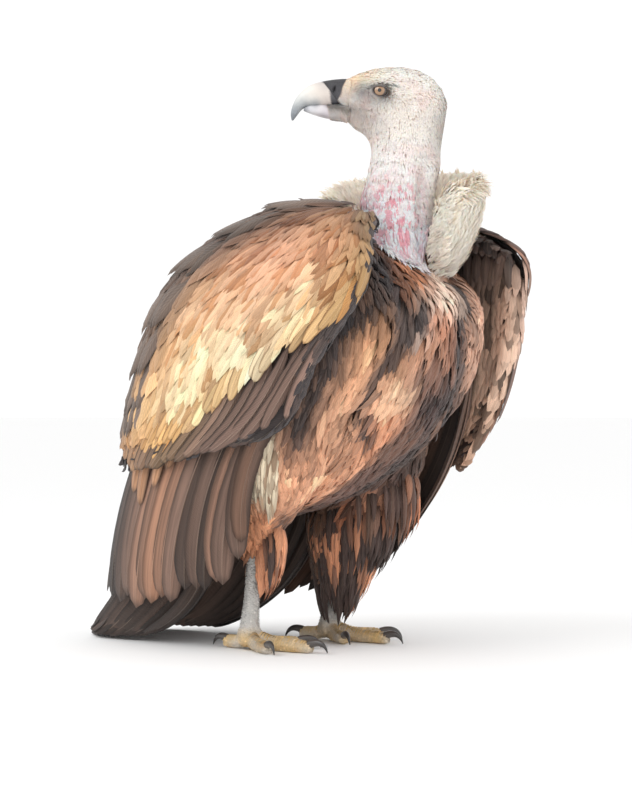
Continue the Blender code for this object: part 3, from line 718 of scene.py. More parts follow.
@dataclass(frozen=True)
class EyeFinish:
    """Wet eye: dark pupil, amber iris with fine spokes, dark rim and brown white."""

    name: str = "eye_wet"
    pupil: float = 0.055
    iris: float = 0.165

    def build(self) -> bpy.types.Material:
        """Make the material; its map gives the angle from the axis as a share of a half turn."""
        made, graph, shader = new_material(self.name)
        place = graph.node("SeparateXYZ", {0: graph.node("UVMap", uv_map="gaze").outputs[0]})
        far, round_axis = place.outputs[0], place.outputs[1]
        spokes = {0: graph.math("MULTIPLY", round_axis, 46.0), 1: graph.math("MULTIPLY", far, 9.0)}
        spokes = graph.node("CombineXYZ", spokes)
        fibre = graph.noise(spokes.outputs[0], 1.0, 4.0, 0.6)
        amber = graph.mix(fibre, (0.20, 0.105, 0.055, 1.0), (0.50, 0.30, 0.16, 1.0))
        ring = graph.ramp(far, self.iris - 0.03, self.iris)
        iris = graph.mix(ring, amber, (0.035, 0.022, 0.016, 1.0))
        outside = graph.ramp(far, self.iris + 0.02, self.iris + 0.10)
        white = graph.mix(outside, iris, (0.045, 0.035, 0.032, 1.0))
        hole = graph.math("SUBTRACT", 1.0, graph.ramp(far, self.pupil - 0.006, self.pupil + 0.004))
        colour = graph.mix(hole, white, (0.004, 0.004, 0.005, 1.0))
        rough = graph.scaled(fibre, 0.06, 0.05)
        graph.feed(shader, {
            "Base Color": colour, "Roughness": rough, "Coat Weight": 1.0, "Coat Roughness": 0.03,
        })
        return made


# ---------------------------------------------------------------- skin
HEAD_SOLIDS = ("head", "eye_right", "eye_left")
WING_SOLIDS = ("wing_right_coverts", "wing_left_coverts")
THIGH_SOLIDS = ("thigh_right", "thigh_left")
LEG_SOLIDS = ("tarsus_right", "tarsus_left", "foot_right", "foot_left")
SKIN_SOLIDS = ("trunk", "mantle", "neck", "ruff") + HEAD_SOLIDS + WING_SOLIDS + THIGH_SOLIDS + LEG_SOLIDS
EYE_SOLIDS = ("eye_right", "eye_left")
SKIN_DEPTHS = {
    "trunk": 0.0080, "mantle": 0.0080, "neck": 0.0022, "head": 0.0011, "eye": 0.0011,
    "wing": 0.0090, "thigh": 0.0080, "tarsus": 0.0008, "foot": 0.0004, "ruff": 0.0080,
}

CHART_RADIUS = 0.20                         # radius at which the chart of the breast is true to size
SHADE = (60, 56, 58)
BACK_TONE = (104, 78, 62)
REAR_DOWN_TONE = (254, 246, 238)


def breast_chart(places: Array) -> Array:
    """Chart (aside, up) of places: the turn round the bird's upright middle line, and the height."""
    return np.stack((CHART_RADIUS * np.arctan2(places[..., 0], places[..., 1]), places[..., 2]), axis=-1)


@dataclass(frozen=True)
class Stroke:
    """A stroke of one colour on the chart of the breast, along a line of (aside, up) corners."""

    line: tuple[tuple[float, float], ...]
    reach: float
    colour: tuple[int, int, int] = SHADE
    # for furrows: how deep the skin sinks, and the strength of the painted shade in them
    depth: float = 0.0
    dark: float = 1.0

    def share(self, chart: Array) -> Array:
        """Strength of 0 to 1, by exp(-distance^2 / reach^2) from the nearest leg of the line."""
        corners = np.array(self.line + self.line[-1:])
        start, leg = corners[:-1], np.diff(corners, axis=0)
        offset = chart[:, None] - start
        along = np.clip((offset * leg).sum(axis=-1) / np.maximum((leg ** 2).sum(axis=-1), 1e-9), 0.0, 1.0)
        away = offset - along[..., None] * leg
        return np.exp(-(away ** 2).sum(axis=-1).min(axis=1) / self.reach ** 2)


def blend_strokes(strokes: tuple[Stroke, ...], ground: tuple[int, int, int], chart: Array) -> Array:
    """Mix strokes over chart places, with the ground's colour where none reaches."""
    shares = np.stack([stroke.share(chart) for stroke in strokes], axis=1)
    total = shares @ np.array([linear(stroke.colour) for stroke in strokes])
    faint = 0.004
    return (total + faint * linear(ground)) / (shares.sum(axis=1, keepdims=True) + faint)


BODY_STROKES = (
    # rust bib below the neck, then painted shade in the hollow beneath it
    Stroke(((-0.045, 0.44), (-0.055, 0.42)), 0.014, (172, 112, 78)),
    Stroke(((-0.060, 0.385),), 0.014, (76, 62, 60)),
    # right half of the breast, a broad buff lobe down to the belly
    Stroke(((-0.090, 0.37), (-0.115, 0.32)), 0.022, (232, 172, 130)),
    Stroke(((-0.115, 0.31), (-0.125, 0.25)), 0.026, (240, 182, 146)),
    Stroke(((-0.120, 0.215), (-0.180, 0.19)), 0.028, (232, 170, 134)),
    Stroke(((-0.065, 0.295),), 0.016, (222, 180, 148)),
    Stroke(((-0.070, 0.26),), 0.020, (222, 156, 120)),
    Stroke(((-0.025, 0.25),), 0.018, (122, 90, 76)),
    # left half of the breast, with a painted highlight along its top edge and painted shade at its foot
    Stroke(((-0.040, 0.405), (0.005, 0.41)), 0.013, (236, 206, 186)),
    Stroke(((-0.055, 0.37),), 0.010, (224, 200, 186)),
    Stroke(((-0.030, 0.385),), 0.016, (196, 138, 110)),
    Stroke(((-0.010, 0.35),), 0.020, (162, 114, 92)),
    Stroke(((-0.040, 0.35),), 0.016, (196, 146, 118)),
    Stroke(((-0.030, 0.32),), 0.018, (132, 98, 84)),
    Stroke(((-0.005, 0.295),), 0.022, (76, 60, 58)),
    Stroke(((0.040, 0.385), (0.045, 0.34)), 0.023, (210, 164, 139)),
    Stroke(((0.070, 0.29),), 0.024, (150, 114, 96)),
    Stroke(((0.170, 0.30),), 0.070, (150, 108, 82)),
    # belly, thighs and trousers; the darkest strokes are partly brown feathers and partly painted shade low
    # on the body
    Stroke(((-0.010, 0.205),), 0.020, (112, 84, 74)),
    Stroke(((0.030, 0.225),), 0.020, (84, 68, 64)),
    Stroke(((0.100, 0.185), (0.105, 0.23)), 0.026, (88, 70, 65)),
    Stroke(((0.110, 0.175),), 0.012, (186, 128, 96)),
    Stroke(((0.145, 0.14),), 0.012, (214, 138, 100)),
    Stroke(((0.180, 0.11),), 0.026, (68, 56, 54)),
    Stroke(((0.200, 0.085),), 0.026, (110, 80, 66)),
    Stroke(((-0.190, 0.155),), 0.018, (104, 76, 64)),
    Stroke(((-0.250, 0.13), (-0.290, 0.13)), 0.030, (205, 141, 104)),
    Stroke(((-0.245, 0.215),), 0.022, (228, 214, 188)),
)
# Furrows pressed into the skin of trunk and mantle, each darkened with painted shade
SHADED_GROOVES = (
    # furrow down the middle of the breast, from the neck to the belly, darkened with painted shade
    Stroke(((-0.070, 0.455), (-0.075, 0.425), (-0.070, 0.37), (-0.090, 0.32), (-0.100, 0.28), (-0.075, 0.25)),
           0.009, depth=0.006, dark=0.92),
    # shadow along the right wing and round the shoulder
    Stroke(((-0.125, 0.39), (-0.145, 0.33), (-0.175, 0.255)), 0.021, depth=0.003, dark=0.97),
    Stroke(((-0.075, 0.445), (-0.100, 0.40), (-0.120, 0.39)), 0.019, depth=0.002, dark=0.92),
    # furrows on the left half and in the buff lobe, darkened with painted shade
    Stroke(((0.035, 0.42), (0.005, 0.385), (0.005, 0.35), (0.050, 0.28), (0.095, 0.25)),
           0.012, depth=0.006, dark=0.96),
    Stroke(((-0.045, 0.405), (-0.060, 0.37), (-0.075, 0.335)), 0.008, depth=0.004, dark=0.88),
    Stroke(((-0.120, 0.33), (-0.150, 0.26)), 0.005, depth=0.003, dark=0.35),
)
NECK_STROKES = (
    Stroke(((-0.050, 0.50), (-0.030, 0.51), (-0.035, 0.47)), 0.024, (250, 246, 245)),
    # grey beside the crop: painted shadow
    Stroke(((-0.005, 0.49),), 0.015, (176, 166, 172)),
    Stroke(((0.020, 0.52),), 0.030, (232, 220, 210)),
    Stroke(((-0.020, 0.575),), 0.040, (254, 244, 236)),
    Stroke(((0.010, 0.59),), 0.020, (212, 196, 188)),
    Stroke(((0.045, 0.575),), 0.026, (206, 190, 182)),
)
CROP_ROSE = Stroke(((-0.040, 0.53), (-0.035, 0.49)), 0.026, (240, 142, 156))
HEAD_TONES = (
    Tone((0.0, 0.030, 0.016), 0.018, (248, 228, 196)),
    Tone((0.0, 0.005, 0.022), 0.018, (252, 238, 216)),
    Tone((0.0, -0.025, 0.030), 0.026, (253, 246, 234)),
    Tone((0.0, -0.055, 0.010), 0.028, (250, 240, 228)),
    Tone((0.0, -0.082, -0.006), 0.018, (196, 180, 170)),
    Tone((0.0, -0.078, -0.036), 0.022, (192, 176, 166)),
    Tone((0.027, 0.026, -0.002), 0.012, (212, 206, 202)),
    Tone((-0.027, 0.026, -0.002), 0.012, (212, 206, 202)),
    Tone((0.024, 0.022, -0.026), 0.017, (206, 190, 182)),
    Tone((-0.024, 0.022, -0.026), 0.017, (206, 190, 182)),
    Tone((0.034, -0.030, -0.020), 0.030, (252, 236, 222)),
    Tone((-0.034, -0.030, -0.020), 0.030, (252, 236, 222)),
    Tone((0.0, 0.052, -0.027), 0.008, (192, 180, 176)),
    Tone((0.0, 0.046, -0.004), 0.009, (198, 191, 188)),
    # darker in the gape below the cere: painted shade
    Tone((0.0, 0.050, -0.014), 0.006, (158, 152, 154)),
    Tone((0.0, 0.010, -0.060), 0.026, (232, 214, 202)),
)
LEG_TONE = (201, 198, 194)
TOE_TONE = (217, 183, 122)
WING_SKIN_TONE = (82, 66, 60)


def down_patches(points: Array) -> Array:
    """Faint rose and grey patches in the down, as factors on its colour."""
    rose = ease(0.52, 0.72, lattice_noise(points, 0.012, 9))[:, None]
    grey = ease(0.55, 0.75, lattice_noise(points * (1.0, 1.0, 2.2), 0.010, 10))[:, None]
    return (1.0 - rose * np.array((0.00, 0.08, 0.08))) * (1.0 - grey * np.array((0.09, 0.10, 0.09)))


def eye_reach(head: Array) -> Array:
    """Reach of head places from the eye's middle, where 1 is the rim of the lids."""
    up = head[:, 2] - EYE_UP - 0.10 * head[:, 1]
    return np.hypot(head[:, 1] / LID_LONG, up / np.where(up > 0.0, LID_UPPER, LID_LOWER))


def down_tint(frame: BirdFrame, points: Array) -> Array:
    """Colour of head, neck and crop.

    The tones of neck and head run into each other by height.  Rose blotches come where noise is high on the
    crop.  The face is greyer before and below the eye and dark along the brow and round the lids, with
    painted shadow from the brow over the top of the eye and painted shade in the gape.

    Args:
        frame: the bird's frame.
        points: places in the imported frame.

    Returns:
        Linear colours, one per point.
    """
    places, head = frame.read(points), frame.head_read(points)
    share = ease(0.560, 0.615, places[:, 2:3])
    chart = breast_chart(places)
    neck = blend_strokes(NECK_STROKES, REAR_DOWN_TONE, chart)
    base = neck * (1.0 - share) + blend_tones(HEAD_TONES, head) * share
    base = base * down_patches(points)
    spots = ease(0.47, 0.60, 0.40 * lattice_noise(points, 0.010, 5) + 0.60 * lattice_noise(points, 0.0030, 6))
    rose = (CROP_ROSE.share(chart) * spots * 0.85)[:, None]
    base = base * (1.0 - rose) + linear(CROP_ROSE.colour) * rose
    forward, up = head[:, 1], head[:, 2]
    reach = eye_reach(head)
    below = np.exp(-((forward + 0.002) / 0.016) ** 2 - ((up + 0.0105) / 0.0080) ** 2)
    lore = np.exp(-((forward - 0.021) / 0.013) ** 2 - ((up - 0.000) / 0.0090) ** 2)
    grey = 0.72 * np.clip(below + lore, 0.0, 1.0)[:, None]
    base = base * (1.0 - grey * (1.0 - linear((158, 163, 172))))
    # painted shade in the gape line
    gape = np.exp(-((up + 0.0205 + 0.15 * (0.040 - forward)) / 0.0030) ** 2) * ease(0.012, 0.036, forward)
    base = base * (1.0 - 0.55 * gape[:, None])
    brow_line = 0.0064 - 9.0 * (forward + 0.002) ** 2 - 0.02 * forward
    brow = np.exp(-((forward + 0.002) / 0.017) ** 6 - ((up - brow_line) / 0.0017) ** 2)
    # painted shadow from the brow over the top of the eye
    brow_shadow = ease(2.10, 1.60, reach) * ease(0.0012, 0.0034, up - EYE_UP)
    dark = np.maximum(np.maximum(0.90 * ease(1.50, 1.12, reach), 0.92 * brow), 0.86 * brow_shadow)
    dark = np.clip(dark, 0.0, 0.95)[:, None]
    return np.clip(base * (1.0 - dark) + linear((48, 47, 50)) * dark, 0.0, 1.0)


def body_tint(frame: BirdFrame, points: Array) -> Array:
    """Colour of breast, belly, thighs and back: broad tones broken by painted shade in flowing gaps and
    furrows.
    """
    chart = breast_chart(frame.read(points))
    base = blend_strokes(BODY_STROKES, BACK_TONE, chart)
    # darker flowing gaps: painted shade between the feather masses
    gaps = ease(0.52, 0.72, lattice_noise(points * (1.0, 0.8, 0.24), 0.019, 3))[:, None]
    light = ease(0.50, 0.78, lattice_noise(points * (1.0, 0.8, 0.30), 0.012, 4))[:, None]
    base = base * (1.0 - 0.42 * gaps) * (1.0 + 0.36 * light)
    # painted shade in the furrows
    for groove in SHADED_GROOVES:
        share = (groove.dark * groove.share(chart))[:, None]
        base = base * (1.0 - share) + linear(groove.colour) * share
    return np.clip(base, 0.0, 0.90)


def relax(
    values: Array, edges: Array, weight: float, rounds: int, keep: float = 0.0, mask: Array | float = 1.0
) -> Array:
    """Move each value towards the mean of its neighbours, and back by a keep share to hold volume."""
    degree = np.bincount(edges.ravel(), minlength=len(values)).astype(float)[:, None]
    degree = np.maximum(degree, 1.0)
    for _ in range(rounds):
        for factor in (weight, -keep) if keep else (weight,):
            total = np.empty_like(values)
            for axis in range(values.shape[1]):
                column = values[:, axis]
                total[:, axis] = np.bincount(edges[:, 0], column[edges[:, 1]], len(values))
                total[:, axis] += np.bincount(edges[:, 1], column[edges[:, 0]], len(values))
            values = values + factor * mask * (total / degree - values)
    return values


@dataclass
class Sample(Rows):
    """Places picked on the skin: on the coat's outline, its normal, and on the skin itself."""

    outline: Array
    normal: Array
    skin: Array


@dataclass
class BodySkin:
    """One skin over all fleshy solids, inside them by the depth of the coat."""

    frame: BirdFrame
    voxel: float = 0.0047

    def build(self, material: bpy.types.Material) -> bpy.types.Object:
        """Remesh the joined solids, refine head and feet, sink the skin, shape the head and paint it.

        Args:
            material: finish of the skin.

        Returns:
            The skin.
        """
        mesh = self.remeshed()
        mesh = self.refined(mesh)
        points = read_out(mesh.vertices, "co", 3)
        edges = read_out(mesh.edges, "vertices", 2, np.int32)
        points = relax(points, edges, 0.5, 9, 0.52)
        self.names, self.tree = self.solid_tree()
        labels = [self.names[self.tree.find_nearest(Vector(point))[2]] for point in points]
        self.labels = np.array([label.split("_")[0] for label in labels])
        points = self.snapped(points)
        points = relax(points, edges, 0.5, 2, 0.52)
        points = relax(points, edges, 0.5, 320, 0.0, self.nape_mask(points))
        self.store(mesh, points)
        points = self.folded(points, self.normals_of(mesh))
        points = relax(points, edges, 0.4, 3, 0.41)
        self.store(mesh, points)
        normals = self.normals_of(mesh)
        depth = np.array([SKIN_DEPTHS[label] for label in self.labels])[:, None]
        depth = relax(depth, edges, 0.5, 40)
        forward = self.frame.head_read(points)[:, 1:2]
        near_bill = np.where((self.labels == "head")[:, None], ease(0.036, 0.026, forward), 1.0)
        self.outline, self.normals = points, normals
        skin = self.lidded(points - normals * np.maximum(depth * near_bill, 0.0003))
        skin[:, 2] = np.maximum(skin[:, 2], 0.0001)
        self.store(mesh, skin)
        self.skin = skin
        mesh.calc_loop_triangles()
        self.triangles = read_out(mesh.loop_triangles, "vertices", 3, np.int32)
        self.surface = BVHTree.FromPolygons(points.tolist(), self.triangles.tolist())
        paint(mesh, "tint", self.tint(points))
        mesh.shade_smooth()
        replaced = tuple(name for name in SKIN_SOLIDS if name not in EYE_SOLIDS)
        return add_piece(mesh, material, replaced)

    def nape_mask(self, points: Array) -> Array:
        """How much to smooth each point where the neck runs into the head and into the trunk."""
        head = self.frame.head_read(points)
        joint = np.exp(-((head[:, 2] + 0.046) / 0.026) ** 4) * ease(0.030, 0.014, head[:, 1])
        joint *= np.linalg.norm(head[:, 0:2] - (0.0, -0.03), axis=1) < 0.075
        up = self.frame.read(points)[:, 2]
        crop = (self.labels == "neck") * ease(0.500, 0.470, up) * 0.5
        return np.maximum(joint, crop)[:, None]

    def remeshed(self) -> bpy.types.Mesh:
        """Join copies of the solids into one closed surface of even cells, and keep its outer part."""
        made = bpy.data.objects.new("skin_source", self.joined(SKIN_SOLIDS))
        bpy.context.scene.collection.objects.link(made)
        step = made.modifiers.new("even", "REMESH")
        step.mode = "VOXEL"
        step.voxel_size = self.voxel
        mesh = bpy.data.meshes.new_from_object(made.evaluated_get(bpy.context.evaluated_depsgraph_get()))
        bpy.data.objects.remove(made, do_unlink=True)
        mesh.name = "skin"
        shape = bmesh.new()
        shape.from_mesh(mesh)
        unseen = set(shape.verts)
        islands = []
        while unseen:
            stack = [unseen.pop()]
            island = []
            while stack:
                vert = stack.pop()
                island.append(vert)
                fresh = [edge.other_vert(vert) for edge in vert.link_edges]
                fresh = [other for other in fresh if other in unseen]
                unseen.difference_update(fresh)
                stack.extend(fresh)
            islands.append(island)
        islands.sort(key=len)
        bmesh.ops.delete(shape, geom=[vert for island in islands[:-1] for vert in island], context="VERTS")
        shape.to_mesh(mesh)
        shape.free()
        return mesh

    @staticmethod
    def joined(names: tuple[str, ...]) -> bpy.types.Mesh:
        """One mesh with the faces of several solids."""
        places, faces, total = [], [], 0
        for name in names:
            source = bpy.data.objects[name].data
            places.append(read_out(source.vertices, "co", 3))
            faces.append(read_out(source.loops, "vertex_index", 1, np.int32).ravel() + total)
            total += len(source.vertices)
        corners = np.concatenate(faces)
        return fill_mesh("joined", np.vstack(places), corners, np.full(len(corners) // 3, 3))

    def refined(self, mesh: bpy.types.Mesh) -> bpy.types.Mesh:
        """Split the cells of the head, the feet and the eyes' surrounds."""
        zones = [(self.frame.head_at(0.0, -0.010, -0.020), 0.078)]
        for key, side in SIDES.items():
            zones.append((self.frame.at(side * STANCE_HALF, FEET_FORWARD[key] + 0.03, 0.03), 0.105))
        zones += [(self.frame.head_at(side * 0.026, 0.006, -0.004), 0.024) for side in SIDES.values()]
        shape = bmesh.new()
        shape.from_mesh(mesh)
        for centre, radius in zones:
            places = np.array([vert.co for vert in shape.verts])
            near = np.linalg.norm(places - centre, axis=1) < radius
            shape.verts.index_update()
            edges = [edge for edge in shape.edges if near[edge.verts[0].index] and near[edge.verts[1].index]]
            bmesh.ops.subdivide_edges(shape, edges=edges, cuts=1, use_grid_fill=True)
        shape.to_mesh(mesh)
        shape.free()
        return mesh

    @staticmethod
    def solid_tree() -> tuple[list[str], BVHTree]:
        """Search tree over the faces of all fleshy solids, and the solid of each face."""
        names, places, faces = [], [], []
        for name in SKIN_SOLIDS:
            source = bpy.data.objects[name].data
            start = len(places)
            places.extend(vert.co.copy() for vert in source.vertices)
            faces.extend([corner + start for corner in face.vertices] for face in source.polygons)
            names.extend([name] * len(source.polygons))
        return names, BVHTree.FromPolygons(places, faces)

    def snapped(self, points: Array) -> Array:
        """Put the points of legs and feet exactly on the solids."""
        moved = points.copy()
        for index in np.flatnonzero(np.isin(self.labels, ("foot", "tarsus"))):
            moved[index] = self.tree.find_nearest(Vector(points[index]))[0]
        return moved

    @staticmethod
    def store(mesh: bpy.types.Mesh, points: Array) -> None:
        """Write places into a mesh."""
        mesh.vertices.foreach_set("co", points.astype(np.float32).ravel())
        mesh.update()

    @staticmethod
    def normals_of(mesh: bpy.types.Mesh) -> Array:
        """Normal of every point."""
        return read_out(mesh.vertex_normals, "vector", 3, np.float32).astype(float)

    def folded(self, points: Array, normals: Array) -> Array:
        """Shape brow, lore, cheek, gape and ear on the head, and long folds down the neck.

        Each feature adds its height times a bell over its place; the gape is a groove along a line.
        """
        head = self.frame.head_read(points)
        features = (
            (0.002, 0.0090, 0.014, 0.0045, 0.0024),
            (0.024, 0.0010, 0.010, 0.0080, -0.0026),
            (-0.012, -0.0250, 0.020, 0.0160, 0.0022),
            (0.010, -0.0150, 0.012, 0.0050, -0.0012),
            (-0.034, -0.0180, 0.007, 0.0070, -0.0024),
        )
        near = np.exp(-(np.abs(np.linalg.norm(head - (0.0, -0.02, -0.02), axis=1)) / 0.085) ** 8)
        rise = np.zeros(len(points))
        for forward, up, long, tall, height in features:
            bell = np.exp(-((head[:, 1] - forward) / long) ** 2 - ((head[:, 2] - up) / tall) ** 2)
            rise += height * bell * ease(0.006, 0.014, np.abs(head[:, 0]))
        line = -0.0165 - 0.30 * (0.040 - head[:, 1])
        groove = np.exp(-((head[:, 2] - line) / 0.0016) ** 2) * ease(0.006, 0.012, head[:, 1])
        rise -= 0.0016 * groove
        rise *= near
        places = self.frame.read(points)
        angle = np.arctan2(places[:, 0] + 0.004, places[:, 1] - 0.165)
        band = ease(0.440, 0.470, places[:, 2]) * ease(0.590, 0.550, places[:, 2])
        neck = (self.labels == "neck") * band
        wave = np.sin(7.0 * angle + 9.0 * lattice_noise(points, 0.05, 2))
        fold = np.exp(-((angle + 0.35) / 0.19) ** 2)
        rise += neck * (0.0012 * wave - 0.0050 * fold)
        ripple = np.sin(places[:, 2] * 620.0 + 7.0 * lattice_noise(points, 0.03, 4))
        rise += 0.0006 * neck * ripple
        fleshy = np.isin(self.labels, ("trunk", "mantle"))
        for groove in SHADED_GROOVES:
            rise -= groove.depth * groove.share(breast_chart(places)) * fleshy
        return points + normals * rise[:, None]

    def lidded(self, points: Array) -> Array:
        """Open the lids over each eyeball.

        With r the reach of a point from the eye's middle in an upright ellipse, the skin dips under the ball
        for r under 0.9, climbs to a rounded lid just above it at r = 1, and joins the head by r = 2.
        """
        head = self.frame.head_read(points)
        moved = head.copy()
        for side in SIDES.values():
            forward = head[:, 1] - 0.0004
            up = head[:, 2] - EYE_UP
            reach = eye_reach(head)
            ball = EYE_SPREAD + np.sqrt(np.maximum(EYE_RADIUS ** 2 - forward ** 2 - up ** 2, 1e-6))
            lid = ball + 0.0011 + 0.0007 * np.exp(-((reach - 1.16) / 0.16) ** 2)
            inside = ball - 0.0030
            outward = head[:, 0] * side
            target = inside + (lid - inside) * ease(0.86, 1.04, reach)
            share = 1.0 - ease(1.30, 2.10, reach)
            near = (outward > 0.004) & (reach < 2.1)
            moved[:, 0] = np.where(near, (outward + (target - outward) * share) * side, moved[:, 0])
        return self.frame.head_at(moved[:, 0], moved[:, 1], moved[:, 2])

    def tint(self, points: Array) -> Array:
        """Colour of every point of the skin, as its coat has it there."""
        colours = body_tint(self.frame, points)
        mask = np.isin(self.labels, ("neck", "head", "eye"))
        colours[mask] = down_tint(self.frame, points[mask])
        legs = np.isin(self.labels, ("tarsus", "foot"))
        yellow = lattice_noise(points, 0.02, 8)[:, None] * ease(0.030, 0.010, points[:, 2:3])
        colours[legs] = (linear(LEG_TONE) * (1 - yellow) + linear(TOE_TONE) * yellow)[legs]
        colours[self.labels == "wing"] = linear(WING_SKIN_TONE)
        return colours

    def pick(self, labels: tuple[str, ...], count: int, rng: np.random.Generator) -> Sample:
        """Pick places at random over the skin of some parts, evenly by area.

        Args:
            labels: the parts.
            count: how many places.
            rng: random numbers.

        Returns:
            The places.
        """
        owned = np.isin(self.labels[self.triangles[:, 0]], labels)
        chosen = self.triangles[owned]
        corners = self.outline[chosen]
        area = np.linalg.norm(np.cross(corners[:, 1] - corners[:, 0], corners[:, 2] - corners[:, 0]), axis=1)
        index = rng.choice(len(chosen), count, p=area / area.sum())
        first, second = rng.uniform(0.0, 1.0, (2, count))
        over = first + second > 1.0
        first, second = np.where(over, 1 - first, first), np.where(over, 1 - second, second)
        share = np.stack((1 - first - second, first, second), axis=1)[..., None]
        rows = chosen[index]
        place = (self.outline[rows] * share).sum(axis=1)
        normal = unit((self.normals[rows] * share).sum(axis=1))
        return Sample(place, normal, (self.skin[rows] * share).sum(axis=1))

    def nearest(self, points: Array) -> tuple[Array, Array]:
        """Closest places of the coat's outline, and its normals there."""
        found = [self.surface.find_nearest(Vector(point)) for point in points]
        return np.array([hit[0] for hit in found]), np.array([hit[1] for hit in found])


def thin_out(places: Array, gap: Array) -> Array:
    """Pick places, in their order, that keep a gap from all picked before them.

    Args:
        places: candidate places.
        gap: smallest distance allowed round each.

    Returns:
        Numbers of the places that stay.
    """
    cell = float(gap.max())
    taken: dict[tuple[int, int, int], list[int]] = {}
    keys = np.floor(places / cell).astype(int)
    stay = []
    for index, key in enumerate(map(tuple, keys)):
        close = False
        for x in (-1, 0, 1):
            for y in (-1, 0, 1):
                for z in (-1, 0, 1):
                    for other in taken.get((key[0] + x, key[1] + y, key[2] + z), ()):
                        if ((places[index] - places[other]) ** 2).sum() < gap[index] ** 2:
                            close = True
                            break
        if not close:
            taken.setdefault(key, []).append(index)
            stay.append(index)
    return np.array(stay)


def unroll(points: Array, start: Array, end: Array) -> Array:
    """Unwrap places as on a tube about the line from start to end: (turn, share along)."""
    axis = unit(end - start)
    offset = points - start
    high = offset @ axis / np.linalg.norm(end - start)
    side = unit(np.cross(axis, np.array((0.0, 1.0, 0.1))))
    other = np.cross(axis, side)
    turn = np.arctan2(offset @ other, offset @ side) / (2 * math.pi) + 0.5
    return np.column_stack((turn * 0.98 + 0.01, np.clip(high, -0.2, 1.2) / 1.4 * 0.98 + 0.15))


# ---------------------------------------------------------------- bill
CERE_ROWS = (
    (0.0370, 0.0146, 0.0400, -0.0190, 0.0128),
    (0.0450, 0.0144, 0.0420, -0.0182, 0.0128),
    (0.0560, 0.0134, 0.0445, -0.0168, 0.0125),
    (0.0660, 0.0117, 0.0467, -0.0152, 0.0120),
)
BILL_ROWS = (
    (0.0664, 0.0116, 0.0471, -0.0152, 0.0120),
    (0.0780, 0.0085, 0.0580, -0.0172, 0.0113),
    (0.0873, 0.0032, 0.0700, -0.0174, 0.0102),
    (0.0945, -0.0038, 0.0800, -0.0172, 0.0088),
    (0.0992, -0.0110, 0.0870, -0.0186, 0.0072),
    (0.1025, -0.0200, 0.0925, -0.0232, 0.0055),
    (0.1036, -0.0270, 0.0965, -0.0285, 0.0038),
    (0.1026, -0.0336, 0.1005, -0.0336, 0.0015),
)
LOWER_BILL_ROWS = (
    (0.0340, -0.0165, 0.0340, -0.0325, 0.0108),
    (0.0480, -0.0156, 0.0480, -0.0334, 0.0112),
    (0.0600, -0.0152, 0.0600, -0.0318, 0.0104),
    (0.0720, -0.0152, 0.0720, -0.0288, 0.0090),
    (0.0815, -0.0160, 0.0815, -0.0256, 0.0068),
    (0.0885, -0.0185, 0.0885, -0.0226, 0.0040),
)
CERE_FRONT = ((-0.0170, -0.0117, 0.0007, 0.0124), (0.0560, 0.0573, 0.0584, 0.0690))
CERE_REAR = ((-0.0190, -0.0131, -0.0048, 0.0035, 0.0138), (0.0530, 0.0504, 0.0455, 0.0435, 0.0385))
CHIN_FRONT = 0.0600
CERE_TONES = (
    Tone((0.0, 0.046, 0.014), 0.010, (66, 65, 68)),
    Tone((0.0, 0.058, 0.010), 0.012, (74, 73, 76)),
    Tone((0.0, 0.050, -0.002), 0.010, (92, 91, 96)),
    Tone((0.0, 0.054, -0.012), 0.006, (64, 64, 68)),
)
BILL_TONES = (
    Tone((0.0, 0.066, 0.008), 0.008, (176, 170, 168)),
    Tone((0.0, 0.072, 0.000), 0.012, (226, 214, 204)),
    Tone((0.0, 0.084, -0.002), 0.012, (222, 220, 214)),
    Tone((0.0, 0.094, -0.010), 0.009, (206, 208, 206)),
    Tone((0.0, 0.062, -0.013), 0.007, (198, 188, 182)),
    Tone((0.0, 0.075, -0.015), 0.006, (128, 138, 146)),
    Tone((0.0, 0.088, -0.017), 0.007, (120, 130, 138)),
    Tone((0.0, 0.100, -0.024), 0.010, (140, 146, 152)),
    Tone((0.0, 0.102, -0.033), 0.006, (104, 110, 116)),
)
LOWER_TONES = (
    Tone((0.0, 0.060, -0.026), 0.008, (206, 196, 202)),
    Tone((0.0, 0.070, -0.022), 0.008, (216, 212, 214)),
    Tone((0.0, 0.080, -0.021), 0.007, (206, 206, 210)),
    # darker under the jaw: painted shade; the next three, along the top edge under the upper bill, are
    # painted shadow
    Tone((0.0, 0.066, -0.031), 0.005, (150, 148, 154)),
    Tone((0.0, 0.060, -0.016), 0.004, (112, 112, 120)),
    Tone((0.0, 0.075, -0.016), 0.004, (104, 108, 116)),
    Tone((0.0, 0.088, -0.020), 0.005, (112, 116, 124)),
)


def bill_border(table: tuple, up: Array) -> Array:
    """Distance ahead of the eyes at which a border of the bill lies, by height."""
    return np.interp(up, *table)


